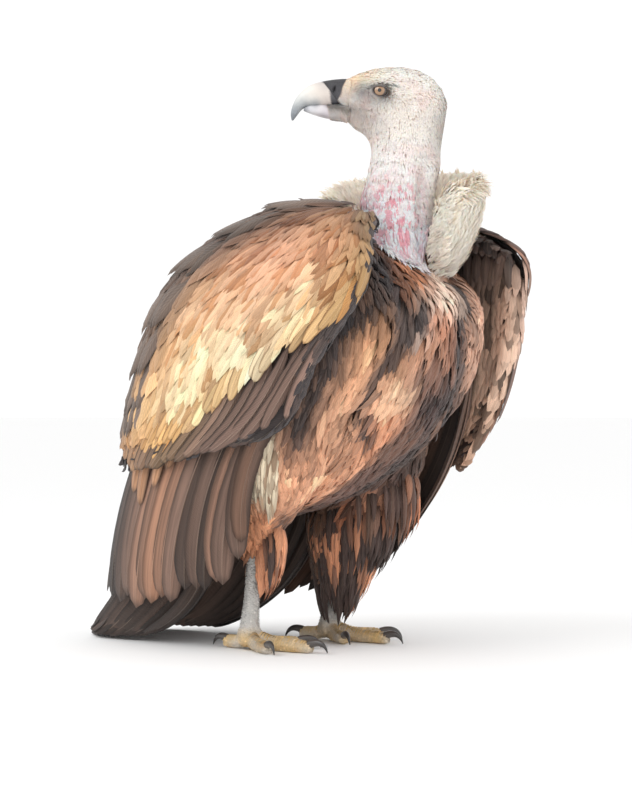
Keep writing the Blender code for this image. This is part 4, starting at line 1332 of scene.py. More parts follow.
@dataclass(frozen=True)
class Beak:
    """Builds the pieces of the bill from slanted sections in the head's own frame."""

    frame: BirdFrame
    stations: int = 64
    around: int = 72
    power: float = 0.8
    slit_forward: float = 0.0530
    slit_up: float = 0.0010
    slit_deep: float = 0.0022

    def surface(self, rows: tuple, share: Array, turn: Array) -> Array:
        """Head places on a piece, for shares along it and turns round it.

        A section runs from its middle by half width * cos^power across and half height * sin^power upwards.
        """
        row = read_rows(rows, share)
        cos, sin = np.cos(turn)[:, None], np.sin(turn)[:, None]
        crest, edge = row[:, 0:2], row[:, 2:4]
        flank = (crest + edge) / 2 + (crest - edge) / 2 * np.sign(sin) * np.abs(sin) ** self.power
        beside = row[:, 4:5] * np.sign(cos) * np.abs(cos) ** self.power
        return np.column_stack((beside, flank))

    def bare(self, rows: tuple, local: Array) -> Array:
        """Share of horn or bare cere at head places of a piece, where the rest has the skin of the face."""
        if rows is CERE_ROWS:
            return ease(-0.0006, 0.0006, local[:, 1] - bill_border(CERE_REAR, local[:, 2]))
        if rows is LOWER_BILL_ROWS:
            return ease(-0.0010, 0.0012, local[:, 1] - CHIN_FRONT - 0.25 * (local[:, 2] + 0.024))
        return np.ones(len(local))

    def build(
        self, name: str, rows: tuple, tones: tuple[Tone, ...], material: bpy.types.Material, slot: str,
        replaced: str, ridge: float = 0.0,
    ) -> None:
        """Loft one piece, paint it and cut the nostrils where it is the cere.

        Args:
            name: piece name.
            rows: its sections.
            tones: its colours.
            material: its finish.
            slot: not used.
            replaced: the solid that it stands for.
            ridge: how far growth lines stand out.
        """
        share = np.repeat(np.linspace(0.0, 1.0, self.stations), self.around)
        turn = np.tile(np.linspace(0.0, 2 * math.pi, self.around, endpoint=False), self.stations)
        local = self.surface(rows, share, turn)
        tint = blend_tones(tones, local * (0.0, 1.0, 1.0))
        if rows is BILL_ROWS:
            dark = ease(0.0006, -0.0006, local[:, 1] - bill_border(CERE_FRONT, local[:, 2]))[:, None]
            tint = tint * (1.0 - dark) + blend_tones(CERE_TONES, local * (0.0, 1.0, 1.0)) * dark
        bare = self.bare(rows, local)[:, None]
        tint = tint * bare + down_tint(self.frame, self.frame.head_at(*local.T)) * (1.0 - bare)
        if rows is CERE_ROWS:
            lean = local[:, 1] - self.slit_forward + 0.35 * (local[:, 2] - self.slit_up)
            reach = np.hypot(lean / 0.0014, (local[:, 2] - self.slit_up) / 0.0040)
            dip = ease(1.15, 0.55, reach)
            rim = np.exp(-((reach - 1.45) / 0.3) ** 2) * 0.0005
            local[:, 0] += np.sign(local[:, 0]) * (rim - self.slit_deep * dip)
            # darker in the nostril slits: painted shade
            tint = tint * (1.0 - 0.85 * dip[:, None])
        if ridge:
            wave = np.sin(share * 46.0 + 1.6 * np.sin(share * 17.0))
            local[:, 0] += ridge * wave * np.cos(turn)
        rings = self.frame.head_at(*local.T).reshape(self.stations, self.around, 3)
        mesh = tube_mesh(name, rings)
        ends = np.stack((tint[: self.around].mean(axis=0), tint[-self.around:].mean(axis=0)))
        paint(mesh, "tint", np.vstack((tint, ends)))
        add_piece(mesh, material, (replaced,))

    def downy(self, rng: np.random.Generator) -> Sample:
        """Pick places on the cere and the lower bill that the skin of the face covers."""
        parts = []
        for rows, count in ((CERE_ROWS, 2600), (LOWER_BILL_ROWS, 3400)):
            share = rng.uniform(0.02, 0.75, count)
            turn = rng.uniform(0.0, 2 * math.pi, count)
            local = self.surface(rows, share, turn)
            along = self.surface(rows, share + 0.01, turn) - self.surface(rows, share - 0.01, turn)
            round_it = self.surface(rows, share, turn + 0.02) - self.surface(rows, share, turn - 0.02)
            normal = unit(np.cross(round_it, along))
            middle = self.surface(rows, share, turn + math.pi)
            normal = normal * np.sign(((local - middle) * normal).sum(axis=1))[:, None]
            stay = (self.bare(rows, local) < 0.5) & (np.abs(local[:, 0]) > 0.001)
            place = self.frame.head_at(*local[stay].T)
            facing = self.frame.head_at(*(local + normal)[stay].T) - place
            parts.append((place, facing))
        place, facing = (np.concatenate(part) for part in zip(*parts))
        return Sample(place + facing * 0.0006, facing, place)


# ---------------------------------------------------------------- wings
NOSE_SHARE = 0.34
CORNER_POWER = 0.62
ARM_ROWS = {
    "right": (
        (0.168, 0.506, 0.060, 0.100, 0.522, 0.030, 0.098, 0.010),
        (0.193, 0.478, 0.106, 0.035, 0.517, 0.020, 0.132, 0.026),
        (0.214, 0.442, 0.138, -0.031, 0.491, 0.014, 0.162, 0.034),
        (0.206, 0.405, 0.151, -0.089, 0.456, 0.012, 0.176, 0.034),
        (0.175, 0.362, 0.158, -0.131, 0.406, 0.012, 0.182, 0.030),
        (0.146, 0.322, 0.161, -0.152, 0.350, 0.012, 0.184, 0.026),
        (0.130, 0.285, 0.161, -0.170, 0.300, 0.012, 0.182, 0.020),
        (0.104, 0.262, 0.158, -0.180, 0.258, 0.012, 0.178, 0.012),
        (0.060, 0.243, 0.156, -0.184, 0.220, 0.014, 0.172, 0.009),
    ),
    "left": (
        (0.168, 0.506, 0.060, 0.100, 0.522, 0.030, 0.098, 0.010),
        (0.221, 0.490, 0.104, 0.042, 0.511, 0.020, 0.138, 0.026),
        (0.248, 0.460, 0.134, -0.024, 0.485, 0.014, 0.166, 0.034),
        (0.244, 0.410, 0.136, -0.082, 0.450, 0.012, 0.172, 0.034),
        (0.236, 0.364, 0.144, -0.124, 0.400, 0.012, 0.178, 0.032),
        (0.220, 0.322, 0.148, -0.152, 0.350, 0.012, 0.180, 0.028),
        (0.202, 0.280, 0.150, -0.170, 0.300, 0.012, 0.178, 0.022),
        (0.182, 0.246, 0.148, -0.180, 0.258, 0.012, 0.174, 0.014),
        (0.158, 0.216, 0.144, -0.184, 0.220, 0.014, 0.168, 0.009),
    ),
}
FLIGHT_ROWS = {
    "right": (
        (0.113, 0.300, 0.139, -0.148, 0.290, 0.010, 0.162, 0.008),
        (0.077, 0.255, 0.147, -0.174, 0.240, 0.010, 0.165, 0.012),
        (0.051, 0.205, 0.145, -0.186, 0.190, 0.012, 0.161, 0.012),
        (0.041, 0.150, 0.139, -0.198, 0.140, 0.016, 0.153, 0.010),
        (0.029, 0.100, 0.129, -0.212, 0.095, 0.024, 0.140, 0.008),
        (-0.009, 0.058, 0.113, -0.228, 0.054, 0.034, 0.124, 0.006),
    ),
    "left": (
        (0.176, 0.290, 0.131, -0.148, 0.290, 0.010, 0.158, 0.008),
        (0.158, 0.230, 0.133, -0.174, 0.240, 0.010, 0.161, 0.012),
        (0.136, 0.190, 0.131, -0.186, 0.190, 0.012, 0.157, 0.012),
        (0.098, 0.142, 0.125, -0.198, 0.140, 0.016, 0.149, 0.010),
        (0.060, 0.096, 0.119, -0.212, 0.095, 0.024, 0.138, 0.008),
        (0.024, 0.050, 0.111, -0.228, 0.054, 0.034, 0.124, 0.006),
    ),
}
PRIMARY_ROWS = (
    (-0.020, 0.240, 0.116, -0.140, 0.230, 0.040, 0.132, 0.006),
    (-0.026, 0.180, 0.114, -0.160, 0.172, 0.036, 0.128, 0.009),
    (-0.038, 0.115, 0.104, -0.184, 0.110, 0.038, 0.118, 0.009),
    (-0.066, 0.056, 0.092, -0.212, 0.056, 0.044, 0.102, 0.008),
    (-0.112, 0.022, 0.080, -0.242, 0.026, 0.050, 0.090, 0.007),
    (-0.165, 0.0060, 0.072, -0.268, 0.0065, 0.056, 0.080, 0.006),
)
# Tones over the arm: share from shoulder to hem, share from the front edge round to the rear edge.
ARM_TONES = (
    Tone((0.04, 0.10), 0.10, (138, 112, 80)),
    Tone((0.04, 0.30), 0.10, (150, 112, 80)),
    Tone((0.12, 0.44), 0.10, (146, 108, 82)),
    Tone((0.15, 0.25), 0.10, (206, 152, 112)),
    Tone((0.15, 0.62), 0.13, (92, 70, 58)),
    Tone((0.28, 0.06), 0.10, (178, 142, 98)),
    Tone((0.28, 0.20), 0.09, (216, 168, 122)),
    Tone((0.28, 0.34), 0.10, (226, 168, 136)),
    Tone((0.28, 0.46), 0.10, (202, 148, 114)),
    Tone((0.30, 0.66), 0.13, (86, 66, 56)),
    Tone((0.42, 0.08), 0.09, (204, 162, 108)),
    Tone((0.42, 0.22), 0.09, (240, 214, 172)),
    Tone((0.42, 0.36), 0.10, (232, 188, 150)),
    Tone((0.42, 0.50), 0.09, (214, 168, 128)),
    Tone((0.48, 0.72), 0.13, (90, 70, 58)),
    Tone((0.55, 0.14), 0.08, (214, 168, 112)),
    Tone((0.58, 0.28), 0.08, (246, 230, 194)),
    Tone((0.60, 0.42), 0.09, (238, 208, 164)),
    Tone((0.62, 0.56), 0.09, (216, 168, 122)),
    Tone((0.72, 0.30), 0.08, (226, 182, 122)),
    Tone((0.74, 0.44), 0.09, (244, 224, 182)),
    Tone((0.76, 0.58), 0.09, (224, 182, 130)),
    Tone((0.92, 0.46), 0.10, (216, 168, 108)),
    Tone((0.92, 0.62), 0.10, (192, 146, 104)),
    Tone((0.76, 0.82), 0.16, (94, 72, 60)),
    Tone((0.10, 0.90), 0.16, (84, 66, 56)),
)
FRONT_TONES = (
    Tone((0.05, 0.10), 0.12, (86, 72, 70)),
    Tone((0.22, 0.12), 0.12, (88, 72, 68)),
    Tone((0.24, 0.00), 0.06, (196, 148, 126)),
    Tone((0.42, 0.01), 0.08, (228, 192, 172)),
    Tone((0.42, 0.16), 0.08, (92, 76, 72)),
    Tone((0.60, 0.04), 0.08, (222, 186, 166)),
    Tone((0.62, 0.18), 0.08, (110, 84, 74)),
    Tone((0.80, 0.03), 0.10, (196, 148, 122)),
    Tone((0.80, 0.14), 0.08, (96, 76, 68)),
    Tone((1.00, 0.08), 0.12, (92, 70, 62)),
)


@dataclass(frozen=True)
class Seat:
    """How deep feathers of a group sit: sink of the root, lift of the tip, bow of the middle, roll."""

    sink: float = 0.002
    lift: float = 0.002
    bow: float = 0.001
    roll: float = 0.10


@dataclass(frozen=True)
class Shell:
    """Curved layer of a folded wing: s runs from its top to its hem, t from front edge round to rear edge.

    From the front edge a quarter sine swings out to the greatest half width over the first part of t; from
    there outward falls as cos(turn)^0.62 while forward and up run on with sin(turn) to the rear edge.
    """

    frame: BirdFrame
    rows: tuple
    side: float

    def arc(self, s: Array, t: Array, depth: Array) -> Array:
        """Place on the layer for shares of 0 to 1, at a depth of 0 (outer face) to 1 (inner face)."""
        row = read_rows(self.rows, s)
        front, rear, half, thick = row[:, 0:3], row[:, 3:6], row[:, 6], row[:, 7]
        span = rear - front
        reach = np.hypot(span[:, 0], span[:, 1])
        in_front = front + span * (0.4 * thick / reach)[:, None]
        in_front[:, 2] = front[:, 2] - 0.55 * thick
        in_rear = rear - span * (thick / reach)[:, None]
        in_rear[:, 2] = rear[:, 2]
        front = front + (in_front - front) * depth
        rear = rear + (in_rear - rear) * depth
        half = half - thick * depth
        lead = np.clip(t / NOSE_SHARE, 0.0, 1.0) * math.pi / 2
        trail = np.clip((t - NOSE_SHARE) / (1 - NOSE_SHARE), 0.0, 1.0) * math.pi / 2
        nose_out = front[:, 2] + (half - front[:, 2]) * np.sin(lead)
        trail_out = rear[:, 2] + (half - rear[:, 2]) * np.cos(trail) ** CORNER_POWER
        outward = np.where(t < NOSE_SHARE, nose_out, trail_out)
        run_on = NOSE_SHARE + (1 - NOSE_SHARE) * np.sin(trail)
        share = np.where(t < NOSE_SHARE, NOSE_SHARE * (1 - np.cos(lead)), run_on)
        forward = front[:, 0] + (rear[:, 0] - front[:, 0]) * share
        up = front[:, 1] + (rear[:, 1] - front[:, 1]) * share
        return self.frame.at(outward * self.side, forward, up)

    def place(self, s: Array, t: Array, depth: float = 0.0) -> Array:
        """Place on the layer, carried on in a straight line above its top and past its hem."""
        s, t = np.broadcast_arrays(np.asarray(s, float), np.asarray(t, float))
        held = np.clip(s, 0.0, 1.0)
        inside = self.arc(held, t, depth)
        past = held != s
        step = np.where(s > 1.0, -0.05, 0.05)
        slope = (self.arc(held + step * past, t, depth) - inside) / np.where(past, step, 1.0)[:, None]
        return inside + slope * (s - held)[:, None]

    def normal(self, s: Array, t: Array) -> Array:
        """Outward normal, from the two slopes of the surface."""
        s, t = np.broadcast_arrays(np.clip(s, 0.01, 0.99), np.clip(t, 0.01, 0.985))
        down = self.place(s + 0.01, t) - self.place(s - 0.01, t)
        back = self.place(s, t + 0.01) - self.place(s, t - 0.01)
        return unit(np.cross(down, back)) * self.side

    def scale(self, s: Array, t: Array) -> tuple[Array, Array]:
        """Metres per share of s and of t."""
        s, t = np.broadcast_arrays(np.clip(s, 0.02, 0.98), np.clip(t, 0.02, 0.98))
        down = np.linalg.norm(self.place(s + 0.02, t) - self.place(s - 0.02, t), axis=1) / 0.04
        back = np.linalg.norm(self.place(s, t + 0.02) - self.place(s, t - 0.02), axis=1) / 0.04
        return down, back

    def row(self, s: float, gap: float, offset: float, low: float, high: float) -> Array:
        """Shares t of the feathers of one row, with equal gaps in metres across the wing."""
        t = np.linspace(low, high, 160)
        line = self.place(np.full(160, s), t)
        run = np.concatenate(([0.0], np.cumsum(np.linalg.norm(np.diff(line, axis=0), axis=1))))
        return np.interp(np.arange(offset * gap, run[-1], gap), run, t)

    def lay(
        self, s0: Array, t0: Array, s1: Array, t1: Array, width: Array, seat: Seat, tint: Array, rim: Array,
        rng: np.random.Generator,
    ) -> Lay:
        """Lay feathers over the layer from (s0, t0) to (s1, t1).

        Args:
            s0: share of s at each root.
            t0: share of t at each root.
            s1: share of s at each tip.
            t1: share of t at each tip.
            width: full widths.
            seat: how deep they sit.
            tint: colour of each.
            rim: colour of the edge of each.
            rng: random numbers.

        Returns:
            The lay.
        """
        count = len(s0)
        loose = rng.normal(0.0, 1.0, count) * 0.25 * seat.lift
        first, last = self.normal(s0, t0), self.normal(s1, t1)
        half_s, half_t = (s0 + s1) / 2, (t0 + t1) / 2
        root = self.place(s0, t0) - first * seat.sink
        tip = self.place(s1, t1) + last * (seat.lift + loose)[:, None]
        rise = (seat.lift - seat.sink) / 2 + seat.bow
        middle = self.place(half_s, half_t) + self.normal(half_s, half_t) * rise
        sideways = np.cross(unit(tip - root), first)
        roll = (seat.roll * self.side + rng.normal(0.0, 0.05, count))[:, None]
        home = np.column_stack((0.02 + 0.96 * t0, 0.04 + 0.80 * np.clip(s0, 0.0, 1.0)))
        first, last = unit(first + sideways * roll), unit(last + sideways * roll)
        return Lay(root, middle, tip, first, last, width, tint, rim, home)


def vary(colours: Array, rng: np.random.Generator, spread: float = 0.12) -> Array:
    """Make colours lighter or darker at random, row by row."""
    return np.clip(colours * np.exp(rng.normal(0.0, spread, (len(colours), 1))), 0.0, 1.0)


# Lines over a layer: shares along one axis, then the share of the other axis where the line lies.
FRONT_LINE = (
    (0.0, 0.1, 0.3, 0.4, 0.47, 0.55, 0.62, 0.8, 1.0),
    (0.02, 0.04, 0.05, 0.08, 0.10, 0.08, 0.02, 0.02, 0.00),
)
BORDER_LINE = (
    (0.0, 0.06, 0.12, 0.18, 0.23, 0.28, 0.34, 0.38, 0.42, 0.62, 1.0),
    (0.37, 0.39, 0.48, 0.53, 0.64, 0.70, 0.79, 0.88, 0.93, 0.94, 0.90),
)
GREATER_LINE = (
    (0.0, 0.05, 0.10, 0.20, 0.34, 0.48, 0.60, 0.75, 1.0),
    (0.78, 0.83, 0.89, 0.98, 1.06, 1.08, 1.03, 0.97, 0.92),
)
SECONDARY_LINE = ((0.0, 0.10, 0.30, 0.5, 0.75, 1.0), (0.74, 0.84, 0.97, 1.02, 0.98, 0.82))
PRIMARY_LINE = ((0.0, 0.35, 0.7, 1.0), (1.0, 1.0, 0.99, 0.94))
ARM_LONG = 0.36                            # length of the arm from shoulder to hem
REAR_END = 0.99                            # share t that no feather passes


def step_down(
    first: float, last: float, gap: float, full: float = 1.0, spread: float = 0.0
) -> Iterator[tuple[float, float, float]]:
    """Walk down the arm row by row.

    Args:
        first: share s of the first row.
        last: share s that no row passes.
        gap: metres between the first rows.
        full: share s at which feathers are full grown.
        spread: how much wider the gap is there.

    Yields:
        Share s of a row, offset of its first feather in gaps, and growth of 0 to 1.
    """
    s, number = first, 0
    while s < last:
        grown = float(ease(0.0, full, s))
        yield s, 0.5 * (number % 2), grown
        s += gap / ARM_LONG * (1.0 + spread * grown)
        number += 1


def plain(colour: tuple[int, int, int], count: int) -> Array:
    """One colour for each feather of a group."""
    return np.broadcast_to(linear(colour), (count, 3))


def raised(lay: Lay, offset: Array) -> Lay:
    """Move all of each feather by an offset."""
    return replace(lay, root=lay.root + offset, middle=lay.middle + offset, tip=lay.tip + offset)


class Wing:
    """Feathers of one folded wing."""

    def __init__(self, frame: BirdFrame, side: str) -> None:
        """Keep the three layers of the wing on one side."""
        self.side = side
        sign = SIDES[side]
        self.arm = Shell(frame, ARM_ROWS[side], sign)
        self.flight = Shell(frame, FLIGHT_ROWS[side], sign)
        self.tips = Shell(frame, PRIMARY_ROWS, sign)

    @staticmethod
    def front(s: float) -> float:
        """Share t at which the coverts begin; before it lie the feathers of the breast side."""
        return float(np.interp(s, *FRONT_LINE))

    def tones(self, s: Array, t: Array) -> Array:
        """Colour of the coverts; the left wing shows its darker front."""
        base = blend_tones(ARM_TONES, np.column_stack((s, t)))
        if self.side == "right":
            return base
        share = ease(0.30, 0.18, t)[:, None]
        return base * (1.0 - share) + blend_tones(FRONT_TONES, np.column_stack((s, t))) * share

    def small_coverts(self, material: bpy.types.Material, rng: np.random.Generator) -> None:
        """Lay rows of lesser and median coverts, growing from shoulder to hem."""
        lays = []
        seat = Seat(sink=0.0026, lift=0.0014, bow=0.0006, roll=0.10)
        for s, offset, grown in step_down(-0.02, 0.84, 0.0092, 0.62, 0.30):
            wide = 0.0088 + 0.0040 * grown
            long = 0.040 + 0.020 * grown
            t = self.arm.row(s, wide * 0.64, offset, self.front(s) + 0.015, 0.66)
            s0 = s + rng.normal(0.0, 0.010, len(t))
            keep = s0 < np.interp(t, *BORDER_LINE) - 0.13
            t, s0 = t[keep], s0[keep]
            count = len(t)
            down, back = self.arm.scale(s0, t)
            stretch = rng.uniform(0.70, 1.35, count)
            drift = 0.08 + rng.normal(0.0, 0.11, count) - 0.30 * ease(0.10, 0.0, t - self.front(s))
            s1 = s0 + long * stretch / down
            s1 = s1 - np.maximum(s1 - 1.0, 0.0) * 0.7 * ease(0.45, 0.60, t)
            t1 = np.clip(t + drift * long / back, 0.0, 0.98)
            tint = vary(self.tones(0.4 * s0 + 0.6 * s1, t), rng, 0.10)
            mark = rng.uniform(0.0, 1.0, (count, 1)) < 0.14 + 0.16 * ease(0.5, 0.1, s)
            tint = np.where(mark, tint * (0.78, 0.64, 0.52), tint)
            low = self.arm.place(s1, t1)
            dusk = ease(0.52, 0.72, lattice_noise(low * (1.0, 1.0, 0.40), 0.020, 51))[:, None]
            pale = ease(0.55, 0.75, lattice_noise(low * (1.0, 1.0, 0.35), 0.016, 52))[:, None]
            tint = tint * (1.0 - 0.45 * dusk * (0.8, 1.0, 1.1)) * (1.0 + 0.22 * pale * (0.8, 1.0, 1.3))
            tint = np.clip(tint, 0.0, 0.84)
            rim = np.clip(tint * (1.10, 1.06, 1.00), 0, 1)
            width = wide * rng.uniform(0.85, 1.2, count)
            lays.append(self.arm.lay(s0, t, s1, t1, width, seat, tint, rim, rng))
        form = VaneForm(Outline.COVERT, Section.VANE, rings=7, thick=0.0005, camber=0.14, ragged=0.08,
                        curl=0.02,
                        ripple=0.04)
        coat_piece(f"coverts_small_{self.side}", form, Lay.join(lays), material, rng)

    def front_feathers(self, material: bpy.types.Material, rng: np.random.Generator) -> None:
        """Lay narrow feathers of the breast side over the folded arm front; on the right wing, a slate
        painted shadow.
        """
        lays = []
        seat = Seat(sink=0.0030, lift=0.0006, bow=0.0002, roll=0.10)
        reach = 0.02 if self.side == "right" else 0.16
        for s, offset, _ in step_down(0.0, 0.84, 0.0105):
            t = self.arm.row(s, 0.0056, offset, 0.0, self.front(s) + reach)
            count = len(t)
            s0 = s + rng.normal(0.0, 0.010, count)
            down, _ = self.arm.scale(s0, t)
            s1 = s0 + 0.034 * rng.uniform(0.8, 1.2, count) / down
            middle = self.arm.place((s0 + s1) / 2, t)
            if self.side == "left":
                # furrows between the strips: painted shade
                groove = ease(0.50, 0.66, lattice_noise(middle * (1.0, 1.0, 0.22), 0.011, 57))[:, None]
                tint = blend_tones(FRONT_TONES, np.column_stack((s1, t))) * (1.0 - 0.62 * groove)
            else:
                # slate: painted shadow between the right wing and the breast
                tint = body_tint(self.arm.frame, middle) * 0.10 + linear((74, 68, 69)) * 0.80
            tint = vary(tint, rng, 0.14)
            width = 0.0085 * rng.uniform(0.8, 1.2, count)
            lays.append(self.arm.lay(s0, t, s1, t, width, seat, tint, np.clip(tint * 1.1, 0, 1), rng))
        form = VaneForm(Outline.LANCE, Section.VANE, rings=6, thick=0.0008, camber=0.18, ragged=0.08,
                        curl=0.02,
                        ripple=0.06)
        coat_piece(f"wing_front_{self.side}", form, Lay.join(lays), material, rng)

    def spread_row(
        self, s: float, gap: float, offset: float, low: float, high: float, rng: np.random.Generator
    ) -> Array:
        """Shares t of one row, each moved a little at random."""
        t = self.arm.row(s, gap, offset, low, high)
        return np.clip(t + rng.normal(0.0, 0.003, len(t)), 0.0, 1.0)

    def large_coverts(self, material: bpy.types.Material, rng: np.random.Generator) -> None:
        """Lay dark coverts deep along the hem as painted shadow, the greater over them, and median ones over
        their roots.
        """
        # near-black row deep along the hem: painted shadow below the tips of the greater coverts
        t = self.arm.row(0.8, 0.0110, 0.0, 0.06, 0.26)
        count = len(t)
        tint = vary(plain((52, 44, 43), count), rng, 0.12)
        seat = Seat(sink=0.0050, lift=0.0002, bow=0.0, roll=0.10)
        s1 = 0.99 + rng.normal(0.0, 0.008, count)
        width = np.full(count, 0.0190)
        deep = self.arm.lay(np.full(count, 0.70), t, s1, t, width, seat, tint, tint * 0.5, rng)
        t = self.spread_row(0.8, 0.0124, 0.3, 0.0, 0.74, rng)
        count = len(t)
        s1 = np.interp(t, *GREATER_LINE) + rng.normal(0.0, 0.014, count)
        s0 = np.maximum(np.interp(t, *BORDER_LINE) - 0.15, s1 - 0.44)
        warm = self.tones(s1 - 0.06, t)
        gold = np.exp(-((t - 0.40) / 0.09) ** 2)[:, None] * 0.55
        base = linear((122, 98, 90)) * (1.0 - gold) + linear((138, 112, 76)) * gold
        blend = 0.04 + 0.50 * ease(0.46, 0.60, t)[:, None]
        tint = vary(base * (1.0 - blend) + warm * blend, rng, 0.20)
        t1 = np.clip(t + 0.015 + rng.normal(0.0, 0.006, count), 0.0, REAR_END)
        seat = Seat(sink=0.0045, lift=0.0018, bow=0.0012, roll=0.26)
        width = 0.0168 * rng.uniform(0.86, 1.10, count)
        greater = self.arm.lay(s0, t, s1, t1, width, seat, tint, tint * 0.16, rng)
        t = self.spread_row(0.7, 0.0094, 0.0, 0.04, 0.70, rng)
        count = len(t)
        s1 = np.interp(t, *BORDER_LINE) + rng.normal(0.012, 0.016, count)
        tint = vary(self.tones(s1 - 0.05, t), rng, 0.16)
        t1 = np.clip(t + rng.normal(0.01, 0.008, count), 0.0, REAR_END)
        seat = Seat(sink=0.0035, lift=0.0030, bow=0.0012, roll=0.24)
        width = 0.0128 * rng.uniform(0.80, 1.15, count)
        median = self.arm.lay(s1 - 0.17, t, s1, t1, width, seat, tint, tint * (0.40, 0.32, 0.26), rng)
        form = VaneForm(Outline.ROUND, Section.BLADE, rings=14, thick=0.0005, camber=0.14, ragged=0.03,
                        curl=0.01,
                        ripple=0.03)
        lay = Lay.join([deep, greater, median])
        coat_piece(f"coverts_large_{self.side}", form, lay, material, rng)

    def scapulars(self, material: bpy.types.Material, rng: np.random.Generator) -> None:
        """Lay long shoulder feathers over the rear of the wing and the back."""
        lays = []
        seat = Seat(sink=0.0034, lift=0.0050, bow=0.0012, roll=0.14)
        for s, offset, grown in step_down(-0.04, 0.92, 0.0125, 0.5, 0.3):
            wide, long = 0.0150 + 0.0090 * grown, 0.046 + 0.038 * grown
            t = self.arm.row(min(max(s, 0.0), 1.0), wide * 0.60, offset, 0.58, 1.0)
            t = np.clip(t + rng.normal(0.0, 0.006, len(t)), 0.0, 0.995)
            count = len(t)
            s0 = s + rng.normal(0.0, 0.010, count)
            down, back = self.arm.scale(s0, t)
            s1 = s0 + long * rng.uniform(0.85, 1.15, count) / down
            s1 = np.minimum(s1, rng.uniform(0.90, 0.965, count))
            t1 = np.clip(t + (0.04 + rng.normal(0.0, 0.05, count)) * long / back, 0.0, 0.995)
            tint = vary(self.tones((s0 + s1) / 2, t), rng, 0.14)
            rim = np.clip(tint * 1.25 + linear((120, 100, 88)) * 0.22, 0.0, 1.0)
            width = wide * rng.uniform(0.85, 1.15, count)
            lays.append(self.arm.lay(s0, t, s1, t1, width, seat, tint, rim, rng))
        for end in (0.16, 0.29, 0.42, 0.56, 0.70, 0.83, 0.93):
            upper = end < 0.80
            t = self.arm.row(end, 0.0135, rng.uniform(0.0, 1.0), 0.60, 0.97 if upper else 0.90)
            count = len(t)
            s1 = end + rng.normal(0.0, 0.006, count) + 0.05 * (t - 0.8)
            s0 = s1 - rng.uniform(0.070, 0.090, count) / self.arm.scale(s1, t)[0]
            t1 = np.clip(t + 0.01 + rng.normal(0.0, 0.006, count), 0.0, REAR_END)
            tint = vary(plain((104, 88, 78), count), rng, 0.24)
            seat = Seat(sink=0.0010, lift=0.0085 if upper else 0.0050, bow=0.0014, roll=0.16)
            width = 0.0230 * rng.uniform(0.85, 1.15, count)
            lays.append(self.arm.lay(s0, t, s1, t1, width, seat, tint, tint * 0.35, rng))
        form = VaneForm(Outline.COVERT, Section.VANE, rings=9, thick=0.0007, camber=0.14, ragged=0.05,
                        curl=0.02,
                        ripple=0.04)
        coat_piece(f"scapulars_{self.side}", form, Lay.join(lays), material, rng)

    def secondaries(self, material: bpy.types.Material, rng: np.random.Generator) -> None:
        """Lay the secondaries, each over the one before it, and four golden inner ones on top."""
        count = 23
        order = np.arange(count) / (count - 1)
        t = 0.02 + 0.90 * order ** 0.92
        s1 = np.interp(t, *SECONDARY_LINE) + rng.normal(0.0, 0.034, count)
        t1 = np.clip(t + 0.015 + rng.normal(0.0, 0.006, count), 0.0, 0.985)
        tint = linear((118, 94, 82)) * (1 - 0.74 * ease(0.56, 0.68, t) * ease(0.0, 0.06, t))[:, None]
        streak = 0.40 * np.exp(-((t - 0.46) / 0.10) ** 2)[:, None]
        streak = streak + 0.35 * (rng.uniform(0, 1, (count, 1)) < 0.20)
        streak = streak * ease(0.64, 0.54, t)[:, None]
        dark = rng.uniform(0.0, 1.0, (count, 1)) < 0.30
        tint = tint * (1 - streak) + linear((156, 112, 86)) * streak
        tint = vary(np.where(dark, tint * 0.35, tint), rng, 0.18)
        rim = np.clip(tint * 0.22, 0.0, 1.0)
        seat = Seat(sink=0.0030, lift=0.0010, bow=0.0008, roll=0.19)
        width = 0.029 * rng.uniform(0.88, 1.10, count)
        lay = self.flight.lay(np.full(count, -0.10), t, s1, t1, width, seat, tint, rim, rng)
        lay = raised(lay, self.flight.normal(s1 * 0.5, t) * (order[:, None] - 0.9) * 0.0080)
        t = np.array((0.42, 0.47, 0.54, 0.59))
        s1 = np.array((0.34, 0.42, 0.50, 0.44))
        tint = vary(plain((198, 148, 112), 4), rng, 0.12)
        seat = Seat(sink=-0.0012, lift=0.0022, bow=0.0008, roll=0.16)
        width = 0.0165 * rng.uniform(0.9, 1.1, 4)
        over = self.flight.lay(np.full(4, -0.20), t, s1, t + 0.01, width, seat, tint, tint * 0.22, rng)
        form = VaneForm(Outline.FLIGHT, Section.BLADE, rings=26, thick=0.0007, camber=0.10, ragged=0.012,
                        ripple=0.02)
        self.flight_piece("secondaries", form, Lay.join([lay, over]), material, rng)

    def primaries(self, material: bpy.types.Material, rng: np.random.Generator) -> None:
        """Lay the primaries, stepped in length, down to the floor beside the tail."""
        count = 10
        order = np.arange(count) / (count - 1)
        t = 0.04 + 0.84 * order
        s1 = np.interp(order, *PRIMARY_LINE) - 0.012 * rng.uniform(0, 1, count)
        t1 = np.clip(t + 0.02, 0.0, 0.97)
        tint = vary(plain((74, 58, 50), count), rng, 0.18)
        seat = Seat(sink=0.0020, lift=0.0, bow=0.0004, roll=0.16)
        width = 0.030 * rng.uniform(0.95, 1.05, count)
        lay = self.tips.lay(np.full(count, -0.04), t, s1, t1, width, seat, tint, tint * 0.30, rng)
        lay = raised(lay, self.tips.normal(s1 * 0.5, t) * (order[:, None] - 0.9) * 0.0050)
        form = VaneForm(Outline.FLIGHT, Section.BLADE, rings=26, thick=0.0006, camber=0.10, ragged=0.012,
                        ripple=0.02)
        self.flight_piece("primaries", form, lay, material, rng)

    def flight_piece(
        self, layer: str, form: VaneForm, lay: Lay, material: bpy.types.Material, rng: np.random.Generator
    ) -> None:
        """Build a layer of flight feathers in the place of its solid."""
        replaced = (f"wing_{self.side}_{layer}",)
        coat_piece(f"{layer}_{self.side}", form, lay, material, rng, replaced)


